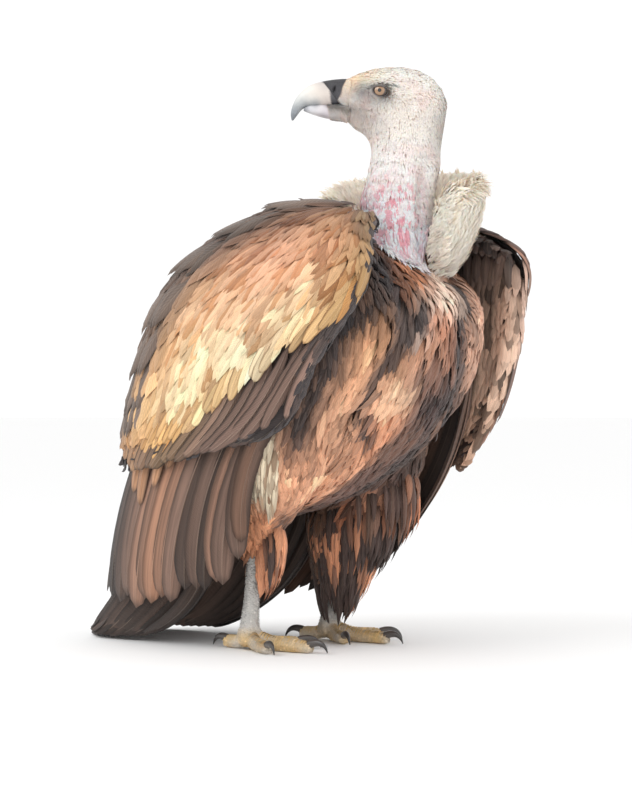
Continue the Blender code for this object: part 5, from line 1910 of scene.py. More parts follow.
# ---------------------------------------------------------------- coats on the skin
TAIL_ROWS = (
    (-0.100, 0.190, 0.020, 0.014),
    (-0.130, 0.140, 0.034, 0.012),
    (-0.158, 0.090, 0.044, 0.009),
    (-0.190, 0.045, 0.052, 0.007),
    (-0.230, 0.014, 0.058, 0.005),
    (-0.275, 0.0034, 0.056, 0.0040),
    (-0.290, 0.0026, 0.046, 0.0030),
)


def swirl(points: Array, ahead: Array, normal: Array, size: float, turn: float, seed: int) -> Array:
    """Turn directions about the normals by a smooth noise, so that the lie flows and parts."""
    angle = (lattice_noise(points, size, seed) - 0.5)[:, None] * 2.0 * turn
    ahead = unit(ahead - normal * (ahead * normal).sum(axis=1, keepdims=True))
    return ahead * np.cos(angle) + np.cross(normal, ahead) * np.sin(angle)


@dataclass(frozen=True)
class Hang:
    """How the long feathers of one thigh hang."""

    count: int
    high: float                            # height below which they grow
    drop: float                            # greatest length
    gap: float                             # least height of a tip over the floor
    draw: float                            # how far the tips draw in to the leg
    facing: float                          # how squarely the skin there faces back and inwards
    # the dark patches are painted shade
    dusk: float                            # share of the dark patches between the tawny lobes


HANGS = {
    "right": Hang(count=240, high=0.150, drop=0.072, gap=0.050, draw=0.36, facing=0.25, dusk=0.18),
    "left": Hang(count=640, high=0.215, drop=0.080, gap=0.016, draw=0.60, facing=-2.0, dusk=0.47),
}


@dataclass(frozen=True)
class RuffLayer:
    """One layer of the collar's strands."""

    count: int
    long: float
    wide: float
    lift: float                            # how far the tips stand off the outline


RUFF_LAYERS = (
    RuffLayer(count=4800, long=0.026, wide=0.0048, lift=0.0005),
    RuffLayer(count=5600, long=0.021, wide=0.0024, lift=0.0012),
    RuffLayer(count=3000, long=0.019, wide=0.0020, lift=0.0030),
)


class Coat:
    """Feathers and down that grow from the skin."""

    def __init__(self, frame: BirdFrame, skin: BodySkin) -> None:
        """Keep the frame and the skin."""
        self.frame = frame
        self.skin = skin

    def chart(self, points: Array) -> Array:
        """Place of body tufts on an upright tube round the trunk."""
        return unroll(points, self.frame.at(0.0, 0.06, 0.0), self.frame.at(0.0, 0.06, 0.52))

    def lay(
        self, picked: Sample, ahead: Array, long: Array, width: Array, seat: Seat, tint: Array, rim: Array,
        rng: np.random.Generator, home: Array | None = None, wrap: bool = True, spare_share: float = 0.30,
    ) -> Lay:
        """Lay tufts from the skin over the coat's outline.

        Args:
            picked: places of the roots.
            ahead: directions of the lie.
            long: lengths.
            width: full widths.
            seat: how far each root is sunk below the skin, and how far middle and tip stand off the outline.
            tint: colours.
            rim: edge colours.
            rng: random numbers.
            home: places on the bake map, or none for those of the body's tube.
            wrap: follow the outline, for tufts long enough to leave it.
            spare_share: length left of a tuft that has no surface to follow.

        Returns:
            The lay.
        """
        count = len(long)
        home = self.chart(picked.outline) if home is None else home
        ahead = unit(ahead - picked.normal * (ahead * picked.normal).sum(axis=1, keepdims=True))
        half, end = picked.outline + ahead * long[:, None] * 0.5, picked.outline + ahead * long[:, None]
        half_normal = tip_normal = picked.normal
        if wrap:
            placed = [self.skin.nearest(points) for points in (half, end)]
            near = np.linalg.norm(placed[1][0] - end, axis=1) < 0.40 * long
            near &= np.linalg.norm(placed[0][0] - half, axis=1) < 0.20 * long
            near &= (placed[0][1] * placed[1][1]).sum(axis=1) > 0.2
            near = (near & ((placed[1][1] * picked.normal).sum(axis=1) > -0.2))[:, None]
            spare = picked.outline + (end - picked.outline) * spare_share
            half = np.where(near, placed[0][0], (picked.outline + spare) / 2)
            end = np.where(near, placed[1][0], spare)
            half_normal, tip_normal = (np.where(near, normal, picked.normal) for _, normal in placed)
        lift = seat.lift * rng.uniform(0.3, 1.6, count)[:, None]
        roll = rng.normal(0.0, seat.roll, count)[:, None]
        sideways = np.cross(ahead, picked.normal)
        root = picked.skin - picked.normal * seat.sink
        return Lay(
            root, half + half_normal * (seat.bow + 0.4 * lift), end + tip_normal * lift,
            unit(picked.normal + sideways * roll), unit(tip_normal + sideways * roll), width, tint, rim, home,
        )

    def body_lie(self, picked: Sample) -> Array:
        """Direction of the body feathers: down and back, and outwards over the breast."""
        places = self.frame.read(picked.outline)
        count = len(places)
        out = np.sign(places[:, 0]) * ease(0.0, 0.06, np.abs(places[:, 0])) * 0.10
        back = 0.20 + 0.75 * ease(0.08, -0.06, places[:, 1])
        ahead = np.stack((out, back, np.full(count, -1.0)), axis=1)
        return swirl(picked.outline, ahead, picked.normal, 0.055, 0.50, 12)

    def tip_tint(self, picked: Sample, ahead: Array, run: Array) -> Array:
        """Body colour at a run of metres down each feather."""
        return body_tint(self.frame, picked.outline + unit(ahead) * run[:, None])

    def body(self, material: bpy.types.Material, rng: np.random.Generator) -> None:
        """Lay contour feathers over breast, belly, flanks and back."""
        picked = self.skin.pick(("trunk", "mantle"), 26000, rng)
        places = self.frame.read(picked.outline)
        grown = 0.75 + 0.45 * ease(0.48, 0.34, places[:, 2])
        stay = thin_out(picked.outline, 0.0068 * grown)
        picked = picked.keep(stay)
        grown = grown[stay]
        count = len(stay)
        ahead = self.body_lie(picked)
        long = 0.048 * grown * rng.uniform(0.70, 1.30, count)
        width = 0.0090 * grown * rng.uniform(0.70, 1.30, count)
        tint = vary(self.tip_tint(picked, ahead, long * 0.60), rng, 0.12)
        bright = rng.choice((0.75, 1.10, 1.30), (count, 1), p=(0.30, 0.45, 0.25))
        rim = np.clip(tint * bright, 0.0, 1.0)
        seat = Seat(sink=0.0004, lift=0.0018, bow=0.0004, roll=0.12)
        lay = self.lay(picked, ahead, long, width, seat, tint, rim, rng)
        form = VaneForm(Outline.COVERT, Section.VANE, rings=5, thick=0.0008, camber=0.20, ragged=0.10,
                        curl=0.03, ripple=0.08)
        coat_piece("body_feathers", form, lay, material, rng)

    def body_locks(self, material: bpy.types.Material, rng: np.random.Generator) -> None:
        """Lay thin loose locks between and over the body feathers."""
        picked = self.skin.pick(("trunk", "thigh"), 6600, rng)
        count = len(picked.outline)
        ahead = self.body_lie(picked)
        long = 0.032 * rng.uniform(0.7, 1.3, count)
        tint = vary(self.tip_tint(picked, ahead, long * 0.55), rng, 0.20)
        width = 0.0034 * rng.uniform(0.7, 1.4, count)
        seat = Seat(sink=0.0002, lift=0.0022, bow=0.0010, roll=0.3)
        lay = self.lay(picked, ahead, long, width, seat, tint, np.clip(tint * 1.2, 0, 1), rng)
        form = VaneForm(Outline.LANCE, Section.TUFT, rings=3, thick=0.0007, camber=0.10, ragged=0.08,
                        curl=0.03)
        coat_piece("body_locks", form, lay, material, rng)

    def thighs(self, material: bpy.types.Material, rng: np.random.Generator) -> None:
        """Lay shaggy feathers down both thighs."""
        picked = self.skin.pick(("thigh",), 15000, rng)
        low = ease(0.20, 0.08, picked.outline[:, 2])
        stay = thin_out(picked.outline, 0.0066 - 0.0022 * low)
        picked = picked.keep(stay)
        low = low[stay]
        count = len(stay)
        ahead = np.broadcast_to((0.0, 0.16, -1.0), (count, 3))
        ahead = swirl(picked.outline, ahead, picked.normal, 0.045, 0.5, 15)
        long = (0.038 - 0.004 * low) * rng.uniform(0.8, 1.25, count)
        width = (0.0100 - 0.0035 * low) * rng.uniform(0.8, 1.2, count)
        tint = vary(self.tip_tint(picked, ahead, long * 0.60), rng, 0.16)
        bright = rng.choice((0.60, 1.25, 1.45), (count, 1), p=(0.3, 0.45, 0.25))
        rim = np.clip(tint * bright, 0.0, 1.0)
        seat = Seat(sink=0.0004, lift=0.0028, bow=0.0006, roll=0.18)
        lay = self.lay(picked, ahead, long, width, seat, tint, rim, rng)
        form = VaneForm(Outline.COVERT, Section.VANE, rings=5, thick=0.0008, camber=0.20, ragged=0.12,
                        curl=0.03, ripple=0.10)
        coat_piece("thigh_feathers", form, lay, material, rng)

    def trousers(self, material: bpy.types.Material, rng: np.random.Generator) -> None:
        """Hang long loose feathers from both thighs; those of the left leg draw together above the toes."""
        lays = []
        for side, hang in HANGS.items():
            sign = SIDES[side]
            picked = self.skin.pick(("thigh",), 14000, rng)
            here = (picked.outline[:, 0] - self.frame.shift[0]) * sign > 0.0
            inner = picked.normal @ unit(np.array((0.6, -0.8, 0.0))) > hang.facing
            here = here & inner & (picked.outline[:, 2] < hang.high) & (picked.outline[:, 2] > 0.075)
            picked = picked.keep(np.flatnonzero(here)[:hang.count])
            count = len(picked.outline)
            axis = self.frame.at(sign * STANCE_HALF, FEET_FORWARD[side] + 0.010, 0.0)
            tip = picked.outline - np.array((0.0, 0.0, hang.drop)) * rng.uniform(0.5, 1.05, (count, 1))
            tip[:, 2] = np.maximum(tip[:, 2], hang.gap + rng.uniform(0.0, 0.030, count))
            tight = hang.draw * ease(0.150, 0.020, tip[:, 2:3]) * rng.uniform(0.7, 1.1, (count, 1))
            tip = tip + (axis - tip) * (1.0, 1.0, 0.0) * tight
            away = unit(picked.normal * (1.0, 1.0, 0.0))
            middle = picked.outline * 0.55 + tip * 0.45 + away * 0.004
            patch = lattice_noise(tip * (1.0, 1.0, 0.45), 0.017, 63)
            lobes = ease(hang.dusk, hang.dusk + 0.10, patch)[:, None]
            # dark between the tawny lobes: painted shade, its share set by each leg's dusk
            tint = linear((216, 150, 114)) * lobes + linear((72, 58, 54)) * (1.0 - lobes)
            upper = ease(0.085, 0.125, tip[:, 2:3])
            tint = vary(tint * (1.0 - upper) + body_tint(self.frame, tip) * upper, rng, 0.18)
            root = picked.skin - picked.normal * 0.0005
            outer = unit(away + (0.0, 0.0, 0.2))
            width = 0.0092 * rng.uniform(0.6, 1.3, count)
            rim = np.clip(tint * rng.choice((0.6, 1.2), (count, 1)), 0.0, 1.0)
            home = self.chart(picked.outline)
            lays.append(Lay(root, middle, tip, picked.normal, outer, width, tint, rim, home))
        form = VaneForm(Outline.COVERT, Section.VANE, rings=7, thick=0.0008, camber=0.20, ragged=0.14,
                        curl=0.02, ripple=0.12)
        coat_piece("trousers", form, Lay.join(lays), material, rng)

    def leg_tuft(self, material: bpy.types.Material, rng: np.random.Generator) -> None:
        """Hang a tuft of long cream locks over the outer side of the near thigh."""
        top = self.frame.at(-0.122, 0.062, 0.248)
        picked = self.skin.pick(("thigh", "trunk"), 60000, rng)
        away = np.linalg.norm((picked.outline - top) * (1.0, 1.0, 0.45), axis=1)
        picked = picked.keep(np.flatnonzero(away < 0.016)[:150])
        count = len(picked.outline)
        ahead = np.broadcast_to((0.0, 0.14, -1.0), (count, 3))
        mixed = rng.uniform(0.0, 1.0, (count, 1)) ** 2
        tint = vary(linear((236, 220, 192)) * (1.0 - mixed) + linear((150, 118, 92)) * mixed, rng, 0.12)
        long = 0.062 * rng.uniform(0.6, 1.2, count)
        width = 0.0070 * rng.uniform(0.6, 1.2, count)
        seat = Seat(sink=0.0004, lift=0.0050, bow=0.0030, roll=0.2)
        lay = self.lay(picked, ahead, long, width, seat, tint, np.clip(tint * 0.8, 0.0, 1.0), rng)
        form = VaneForm(Outline.LANCE, Section.VANE, rings=7, thick=0.0008, camber=0.20, ragged=0.10,
                        curl=0.02, ripple=0.10)
        coat_piece("leg_tuft", form, lay, material, rng)

    def lining(self, material: bpy.types.Material, rng: np.random.Generator) -> None:
        """Lay small coverts over the inner faces of the wings."""
        picked = self.skin.pick(("wing",), 30000, rng)
        inward = picked.normal[:, 0] * np.sign(picked.outline[:, 0] - self.frame.shift[0]) < 0.15
        low = picked.normal[:, 2] < 0.35
        index = np.flatnonzero(inward & low)
        index = index[thin_out(picked.outline[index], np.full(len(index), 0.0082))]
        picked = picked.keep(index)
        _, below = self.skin.nearest(picked.outline - np.array((0.0, 0.0, 0.044)))
        hem = (below * picked.normal).sum(axis=1) < 0.55
        stay = ~hem | (picked.normal[:, 2] > -0.12) | (picked.outline[:, 2] > 0.32)
        picked = picked.keep(stay)
        hem, count = hem[stay], int(stay.sum())
        ahead = np.broadcast_to((0.0, 0.25, -1.0), (count, 3))
        ahead = swirl(picked.outline, ahead, picked.normal, 0.05, 0.4, 18)
        places = self.frame.read(picked.outline + unit(ahead) * 0.020)
        tone = blend_tones(LINING_TONES, places[:, 1:3])
        # flowing furrows: painted shade; the right wing's inner face takes the slate of a painted shadow
        groove = ease(0.50, 0.62, lattice_noise(picked.outline * (1.0, 1.0, 0.16), 0.011, 19))[:, None]
        tone = tone * (1.0 - 0.72 * groove)
        shadow = (places[:, :1] < 0.0) * ease(0.30, 0.10, groove * 0.1)
        tint = vary(tone * (1.0 - shadow) + linear((66, 60, 61)) * shadow, rng, 0.12)
        long = np.where(hem, 0.017, 0.042) * rng.uniform(0.8, 1.2, count)
        width = 0.0120 * rng.uniform(0.8, 1.2, count)
        seat = Seat(sink=0.0004, lift=0.0012, bow=0.0003, roll=0.15)
        lay = self.lay(picked, ahead, long, width, seat, tint, np.clip(tint * 1.25, 0, 1), rng)
        form = VaneForm(Outline.COVERT, Section.VANE, rings=5, thick=0.0007, camber=0.18, ragged=0.08,
                        curl=0.02, ripple=0.06)
        coat_piece("wing_lining", form, lay, material, rng)

    def ruff(self, material: bpy.types.Material, rng: np.random.Generator) -> None:
        """Lay long soft strands that fan up and out of the collar."""
        for number, layer in enumerate(RUFF_LAYERS):
            picked = self.skin.pick(("ruff",), layer.count, rng)
            middle = self.frame.at(0.0, 0.162, 0.0)
            out = unit((picked.outline - middle) * (1.0, 1.0, 0.0))
            ahead = out * 1.0 + np.array((0.0, 0.0, 0.42))
            ahead = swirl(picked.outline, ahead, picked.normal, 0.030, 0.35, 21 + number)
            strand = lattice_noise(picked.outline * (1.0, 1.0, 0.6), 0.008, 25)[:, None]
            base = linear((255, 241, 224)) * (0.88 + 0.16 * strand)
            shade = ease(0.50, 0.43, picked.outline[:, 2:3]) * 0.10
            gold = ease(-0.030, -0.062, self.frame.read(picked.outline)[:, :1]) * 0.85
            base = base * (1.0 - gold) + linear((196, 164, 112)) * gold
            tint = vary(np.clip(base * (1.0 - shade), 0.0, 0.96), rng, 0.04)
            reach = layer.long * (1.0 - 0.55 * gold[:, 0]) * rng.uniform(0.7, 1.4, layer.count)
            width = layer.wide * rng.uniform(0.7, 1.3, layer.count)
            seat = Seat(sink=0.0003, lift=layer.lift, bow=0.0002, roll=0.07)
            rim = np.clip(tint * 1.05, 0, 1)
            lay = self.lay(picked, ahead, reach, width, seat, tint, rim, rng, spare_share=0.75)
            form = VaneForm(Outline.LOCK, Section.TUFT, rings=3, thick=0.0003, camber=0.08, ragged=0.06,
                            curl=0.02)
            coat_piece(f"ruff_{number + 1}", form, lay, material, rng)

    def neck_down(self, material: bpy.types.Material, rng: np.random.Generator) -> None:
        """Lay short down along the neck, thinnest over the crop."""
        count = 15200
        picked = self.skin.pick(("neck",), count, rng)
        ahead = np.broadcast_to((0.0, 0.0, -1.0), (count, 3)) + self.frame.sight * -0.15
        ahead = swirl(picked.outline, ahead, picked.normal, 0.030, 0.22, 31)
        tint = vary(down_tint(self.frame, picked.outline), rng, 0.03)
        home = unroll(picked.outline, self.frame.at(-0.004, 0.165, 0.42), self.frame.at(-0.004, 0.165, 0.62))
        long = 0.0085 * rng.uniform(0.6, 1.4, count)
        width = 0.0022 * rng.uniform(0.7, 1.4, count)
        seat = Seat(sink=0.0002, lift=0.0002, bow=0.0001, roll=0.05)
        lay = self.lay(picked, ahead, long, width, seat, tint, tint, rng, home, wrap=False)
        places = self.frame.read(picked.outline)
        low = np.flatnonzero((places[:, 2] < 0.492) & (places[:, 1] > 0.165))[:900]
        long = 0.021 * rng.uniform(0.6, 1.3, len(low))
        width = 0.0030 * rng.uniform(0.7, 1.4, len(low))
        seat = Seat(sink=0.0002, lift=0.0030, bow=0.0012, roll=0.08)
        fringe = self.lay(picked.keep(low), ahead[low], long, width, seat, tint[low], tint[low], rng,
                          home[low])
        form = VaneForm(Outline.LOCK, Section.TUFT, rings=2, thick=0.00025, camber=0.06, ragged=0.05)
        coat_piece("neck_down", form, Lay.join([lay, fringe]), material, rng)

    def head_down(self, material: bpy.types.Material, beak: Beak, rng: np.random.Generator) -> None:
        """Lay the finest down up to cere and horn, shortest on the face, none between the lids."""
        picked = Sample.join([self.skin.pick(("head",), 13200, rng), beak.downy(rng)])
        head = self.frame.head_read(picked.outline)
        reach = eye_reach(head)
        stay = np.flatnonzero(reach > 1.22)
        picked = picked.keep(stay)
        head = head[stay]
        count = len(stay)
        face = ease(-0.010, 0.030, head[:, 1]) * ease(0.030, 0.012, head[:, 2])
        near = ease(3.2, 1.3, reach[stay])
        short = np.clip(1.0 - 0.45 * face - 0.35 * near, 0.3, 1.0)
        short = short * (1.0 + 0.9 * np.exp(-((head[:, 1] - 0.0415) / 0.0035) ** 2))
        lower = ease(0.000, -0.030, head[:, 2:3])
        ahead = -self.frame.sight * (1.0 - 0.85 * lower) + np.array((0.0, 0.0, -0.60))
        ahead = ahead - lower * (0.0, 0.0, 0.40)
        ahead = swirl(picked.outline, ahead, picked.normal, 0.024, 0.22, 35)
        tint = vary(down_tint(self.frame, picked.outline), rng, 0.03)
        front, rear = self.frame.head_at(0.0, 0.062, -0.015), self.frame.head_at(0.0, -0.085, -0.02)
        home = unroll(picked.outline, front, rear)
        long = 0.0066 * short * rng.uniform(0.6, 1.4, count)
        width = 0.0018 * short * rng.uniform(0.8, 1.5, count)
        seat = Seat(sink=0.0002, lift=0.00015, bow=0.0001, roll=0.05)
        lay = self.lay(picked, ahead, long, width, seat, tint, tint, rng, home, wrap=False)
        form = VaneForm(Outline.LOCK, Section.TUFT, rings=2, thick=0.0002, camber=0.06, ragged=0.05)
        coat_piece("head_down", form, lay, material, rng)

    def leg_scales(self, material: bpy.types.Material, rng: np.random.Generator) -> None:
        """Lay small round scales over lower legs and feet."""
        picked = self.skin.pick(("tarsus", "foot"), 16000, rng)
        index = np.flatnonzero(picked.outline[:, 2] > 0.0022)
        index = index[thin_out(picked.outline[index], np.full(len(index), 0.0020))]
        picked = picked.keep(index)
        count = len(index)
        away = picked.outline - self.frame.at(0.0, 0.0, 0.0)
        away[:, 0] -= np.sign(away[:, 0]) * STANCE_HALF
        ahead = unit(away * (1.0, 1.0, 0.0)) * ease(0.036, 0.020, picked.outline[:, 2:3]) + (0.0, 0.0, -0.5)
        yellow = lattice_noise(picked.outline, 0.02, 8)[:, None] * ease(0.034, 0.012, picked.outline[:, 2:3])
        tint = vary(linear(LEG_TONE) * (1 - yellow) + linear(TOE_TONE) * yellow, rng, 0.10)
        long = 0.0027 * rng.uniform(0.9, 1.1, count)
        width = 0.0027 * rng.uniform(0.9, 1.1, count)
        seat = Seat(sink=0.0001, lift=0.0002, bow=0.0002, roll=0.05)
        home = self.foot_chart(picked.outline)
        lay = self.lay(picked, ahead, long, width, seat, tint, tint * 0.62, rng, home, wrap=False)
        form = VaneForm(Outline.SCALE, Section.LEAF, rings=3, thick=0.0004, camber=0.14, ragged=0.03)
        coat_piece("leg_scales", form, lay, material, rng)

    def foot_chart(self, points: Array) -> Array:
        """Place of scales on a tube round each leg, the two side by side."""
        side = np.where(points[:, 0] > self.frame.shift[0], 1.0, -1.0)
        local = points - self.frame.shift - np.stack((side * STANCE_HALF, side * 0.0, side * 0.0), axis=1)
        turn = np.arctan2(local[:, 1], local[:, 0]) / (2 * math.pi) + 0.5
        run = np.hypot(local[:, 0], local[:, 1]) + local[:, 2]
        return np.column_stack((0.25 + side * 0.24 + turn * 0.48, 0.02 + run * 4.0))


LINING_TONES = (
    Tone((0.16, 0.50), 0.06, (86, 72, 70)),
    Tone((0.24, 0.455), 0.04, (88, 74, 72)),
    Tone((0.25, 0.40), 0.045, (236, 196, 170)),
    Tone((0.24, 0.34), 0.05, (238, 202, 178)),
    Tone((0.21, 0.28), 0.05, (234, 196, 170)),
    Tone((0.16, 0.24), 0.05, (206, 164, 138)),
    Tone((0.00, 0.35), 0.14, (150, 124, 106)),
)


def build_tail(frame: BirdFrame, material: bpy.types.Material, rng: np.random.Generator) -> None:
    """Fourteen tail feathers, the middle pair on top, laid down to the floor."""
    count = 14
    order = np.linspace(-1.0, 1.0, count)
    table = [read_rows(TAIL_ROWS, np.full(count, share)) for share in (0.0, 0.52, 1.0)]
    heap = (1.0 - np.abs(order)) * 0.0060 - 0.0030
    lines = []
    for row, share in zip(table, (0.3, 0.7, 1.0)):
        aside = order * row[:, 2] * 0.86
        lines.append(frame.at(aside, row[:, 0], row[:, 1] + heap * (1.4 - share) + 0.0010))
    short = rng.uniform(0.0, 0.010, count) + 0.012 * np.abs(order)
    ends = lines[2] - unit(lines[2] - lines[1]) * short[:, None]
    up = unit(np.array((0.0, 0.45, 0.9)) + np.stack((order * 0.25, order * 0.0, order * 0.0), axis=1))
    flat = unit(np.array((0.0, 0.1, 1.0)) + np.stack((order * 0.15, order * 0.0, order * 0.0), axis=1))
    tint = vary(np.broadcast_to(linear((58, 48, 45)), (count, 3)), rng, 0.08)
    home = np.column_stack((0.5 + 0.4 * order, np.full(count, 0.5)))
    lay = Lay(lines[0], lines[1], ends, up, flat, np.full(count, 0.032), tint, tint * 0.8, home)
    form = VaneForm(Outline.FLIGHT, Section.BLADE, rings=24, thick=0.0006, camber=0.08, ragged=0.012,
                    ripple=0.02)
    coat_piece("tail_feathers", form, lay, material, rng, ("tail",))


# ---------------------------------------------------------------- eyes and feet
TOES = {
    "middle": (2.0, 0.088),
    "inner": (38.0, 0.062),
    "outer": (-34.0, 0.066),
    "hind": (172.0, 0.040),
}
TOE_RADIUS = 0.0085
CLAW_SWEEP = math.radians(74.0)
TOE_ROWS = (
    (0.00, 1.15, 0.0060),
    (0.18, 1.08, 0.0034),
    (0.40, 0.96, 0.0008),
    (0.62, 0.94, 0.0000),
    (0.82, 0.90, 0.0005),
    (1.00, 0.74, 0.0003),
)


def build_eyes(frame: BirdFrame, material: bpy.types.Material) -> None:
    """Eyeballs with a map of the angle from the axis of sight, as a share of a half turn."""
    rings, around = 56, 64
    angle = np.linspace(0.006, 1.0 - 0.006, rings)
    turn = np.linspace(0.0, 2 * math.pi, around, endpoint=False)
    for side, sign in SIDES.items():
        centre = frame.head_at(sign * EYE_SPREAD, 0.0, EYE_UP)
        axis = unit(frame.beside * sign + frame.sight * 0.08)
        first = unit(np.cross(axis, (0.0, 0.0, 1.0)))
        second = np.cross(axis, first)
        bulge = EYE_RADIUS + 0.0006 * ease(0.20, 0.0, angle)
        spoke = np.cos(turn)[:, None] * first + np.sin(turn)[:, None] * second
        out = np.sin(angle * math.pi)[:, None, None] * spoke[None]
        ahead = np.cos(angle * math.pi)[:, None, None] * axis
        points = centre + (out + ahead) * bulge[:, None, None]
        mesh = tube_mesh(f"eyeball_{side}", points)
        far = np.concatenate((np.repeat(angle, around), (0.0, 1.0)))
        mirrored = 1.0 - np.abs(1.0 - turn / math.pi)
        add_map(mesh, "gaze", np.column_stack((far, np.concatenate((np.tile(mirrored, rings), (0.5, 0.5))))))
        add_piece(mesh, material, (f"eye_{side}",))


class Feet:
    """Claws and the plates across the toes."""

    def __init__(self, frame: BirdFrame) -> None:
        """Keep the frame."""
        self.frame = frame

    def toe(self, side: str, name: str, run: Array, height: Array, beside: Array) -> Array:
        """Places of a toe: distance from the ball, height and distance beside its middle line."""
        yaw = math.radians(TOES[name][0]) * -SIDES[side]
        ahead = np.array((math.sin(yaw), -math.cos(yaw), 0.0))
        across = np.array((math.cos(yaw), math.sin(yaw), 0.0))
        base = self.frame.at(SIDES[side] * STANCE_HALF, FEET_FORWARD[side], 0.0)
        parts = np.stack(np.broadcast_arrays(run, height, beside), axis=-1)
        return base + parts[..., 0:1] * ahead + parts[..., 1:2] * (0.0, 0.0, 1.0) + parts[..., 2:3] * across

    def claws(self, material: bpy.types.Material) -> None:
        """Curved tapering claws, deeper than wide, with a flat underside."""
        bend = np.linspace(0.0, 1.0, 26)
        turn = np.linspace(0.0, 2 * math.pi, 24, endpoint=False)
        for side in SIDES:
            for name, (_, long) in TOES.items():
                run = long - 0.004 + 0.026 * np.sin(bend * CLAW_SWEEP) / math.sin(CLAW_SWEEP)
                height = 0.0098 + 0.0040 * np.sin(bend * math.pi) - 0.0080 * bend ** 2
                size = 0.0052 * (1.0 - 0.90 * bend ** 1.5)
                slope = np.arctan2(np.gradient(height), np.gradient(run))
                deep = np.sin(turn) * np.where(np.sin(turn) < 0.0, 0.82, 1.05)
                lift = size[:, None] * deep[None]
                beside = size[:, None] * 0.82 * np.cos(turn)[None]
                runs = run[:, None] - np.sin(slope)[:, None] * lift
                rises = np.maximum(height[:, None] + np.cos(slope)[:, None] * lift, 0.0005)
                mesh = tube_mesh(f"talon_{name}_{side}", self.toe(side, name, runs, rises, beside))
                shade = np.concatenate((np.repeat(bend, 24), (0.0, 1.0)))[:, None]
                paint(mesh, "tint", linear((84, 78, 74)) * (1 - shade) + linear((36, 33, 33)) * shade)
                add_piece(mesh, material, (f"claw_{name}_{side}",))

    def scutes(self, material: bpy.types.Material, rng: np.random.Generator) -> None:
        """Plates laid across the top of each toe, overlapping towards the claw."""
        lays = []
        for side in SIDES:
            for number, (name, (_, long)) in enumerate(TOES.items()):
                run = np.arange(0.20 * long, 0.99 * long, 0.0036)
                girth, arch = read_rows(TOE_ROWS, run / long)[:, 1:3].T
                girth = girth * TOE_RADIUS
                middle = girth + arch - 0.0012
                foot = middle + 0.15 * girth
                ends = [self.toe(side, name, run, foot, girth * 0.93 * k) for k in (-1.0, 1.0)]
                top = self.toe(side, name, run, middle + 1.07 * girth, 0.0 * run)
                tilt = unit(self.toe(side, name, run - 0.3, middle + 1.0, 0.0 * run) - top)
                yellow = rng.uniform(0.35, 1.0, (len(run), 1))
                tint = vary(linear((206, 196, 180)) * (1 - yellow) + linear(TOE_TONE) * yellow, rng, 0.10)
                place = 0.1 + 0.1 * number + (0.5 if side == "left" else 0.0)
                home = np.column_stack((np.full(len(run), place), 0.62 + run * 3.4))
                width = np.full(len(run), 0.0052)
                lays.append(Lay(ends[0], top, ends[1], tilt, tilt, width, tint, tint * 0.55, home))
        form = VaneForm(Outline.ROUND, Section.LEAF, rings=9, thick=0.0007, camber=0.10, ragged=0.02)
        coat_piece("toe_plates", form, Lay.join(lays), material, rng)


# ---------------------------------------------------------------- stage
@dataclass(frozen=True)
class Studio:
    """Camera, lights and floor."""

    frame: BirdFrame
    azimuth: float = math.radians(-54.0)
    distance: float = 3.0
    height: float = 0.30
    aside: float = 0.0312
    lens: float = 114.0684
    world: tuple[float, float, float] = (1.0, 1.0, 1.0)

    def build(self) -> None:
        """Place all three."""
        scene = bpy.context.scene
        scene.view_settings.view_transform = "Standard"
        data = bpy.data.cameras.new("camera")
        data.lens = self.lens
        data.sensor_width = 36.0
        camera = bpy.data.objects.new("camera", data)
        look = Vector((-math.sin(self.azimuth), math.cos(self.azimuth), 0.0))
        right = Vector((look.y, -look.x, 0.0))
        place = -look * self.distance + Vector((0.0, 0.0, self.height)) + right * self.aside
        camera.location = place + Vector(self.frame.shift)
        camera.rotation_euler = look.to_track_quat("-Z", "Y").to_euler()
        scene.collection.objects.link(camera)
        scene.camera = camera
        self.light("key", look * -1.4 - right * 1.5 + Vector((0.0, 0.0, 2.1)), 1.6, 24.0)
        self.light("fill", look * -1.2 + right * 2.0 + Vector((0.0, 0.0, 1.0)), 2.0, 5.0)
        world = bpy.data.worlds.new("world")
        world.use_nodes = True
        world.node_tree.nodes["Background"].inputs[0].default_value = (*self.world, 1.0)
        world.node_tree.nodes["Background"].inputs[1].default_value = 1.05
        scene.world = world
        self.floor()

    @staticmethod
    def light(name: str, place: Vector, size: float, power: float) -> None:
        """Add a soft square light that faces the middle of the bird."""
        data = bpy.data.lights.new(name, "AREA")
        data.size = size
        data.energy = power
        made = bpy.data.objects.new(name, data)
        made.location = place
        made.rotation_euler = (Vector((0.0, 0.0, 0.35)) - place).to_track_quat("-Z", "Y").to_euler()
        bpy.context.scene.collection.objects.link(made)

    @staticmethod
    def floor() -> None:
        """Add a plain pale disc under the bird."""
        shape = bmesh.new()
        bmesh.ops.create_circle(shape, cap_ends=True, segments=96, radius=30.0)
        mesh = bpy.data.meshes.new("floor")
        shape.to_mesh(mesh)
        shape.free()
        material, _, shader = new_material("floor_paper")
        shader.inputs["Base Color"].default_value = (0.93, 0.93, 0.928, 1.0)
        shader.inputs["Roughness"].default_value = 0.9
        mesh.materials.append(material)
        floor = bpy.data.objects.new("floor", mesh)
        bpy.context.scene.collection.objects.link(floor)


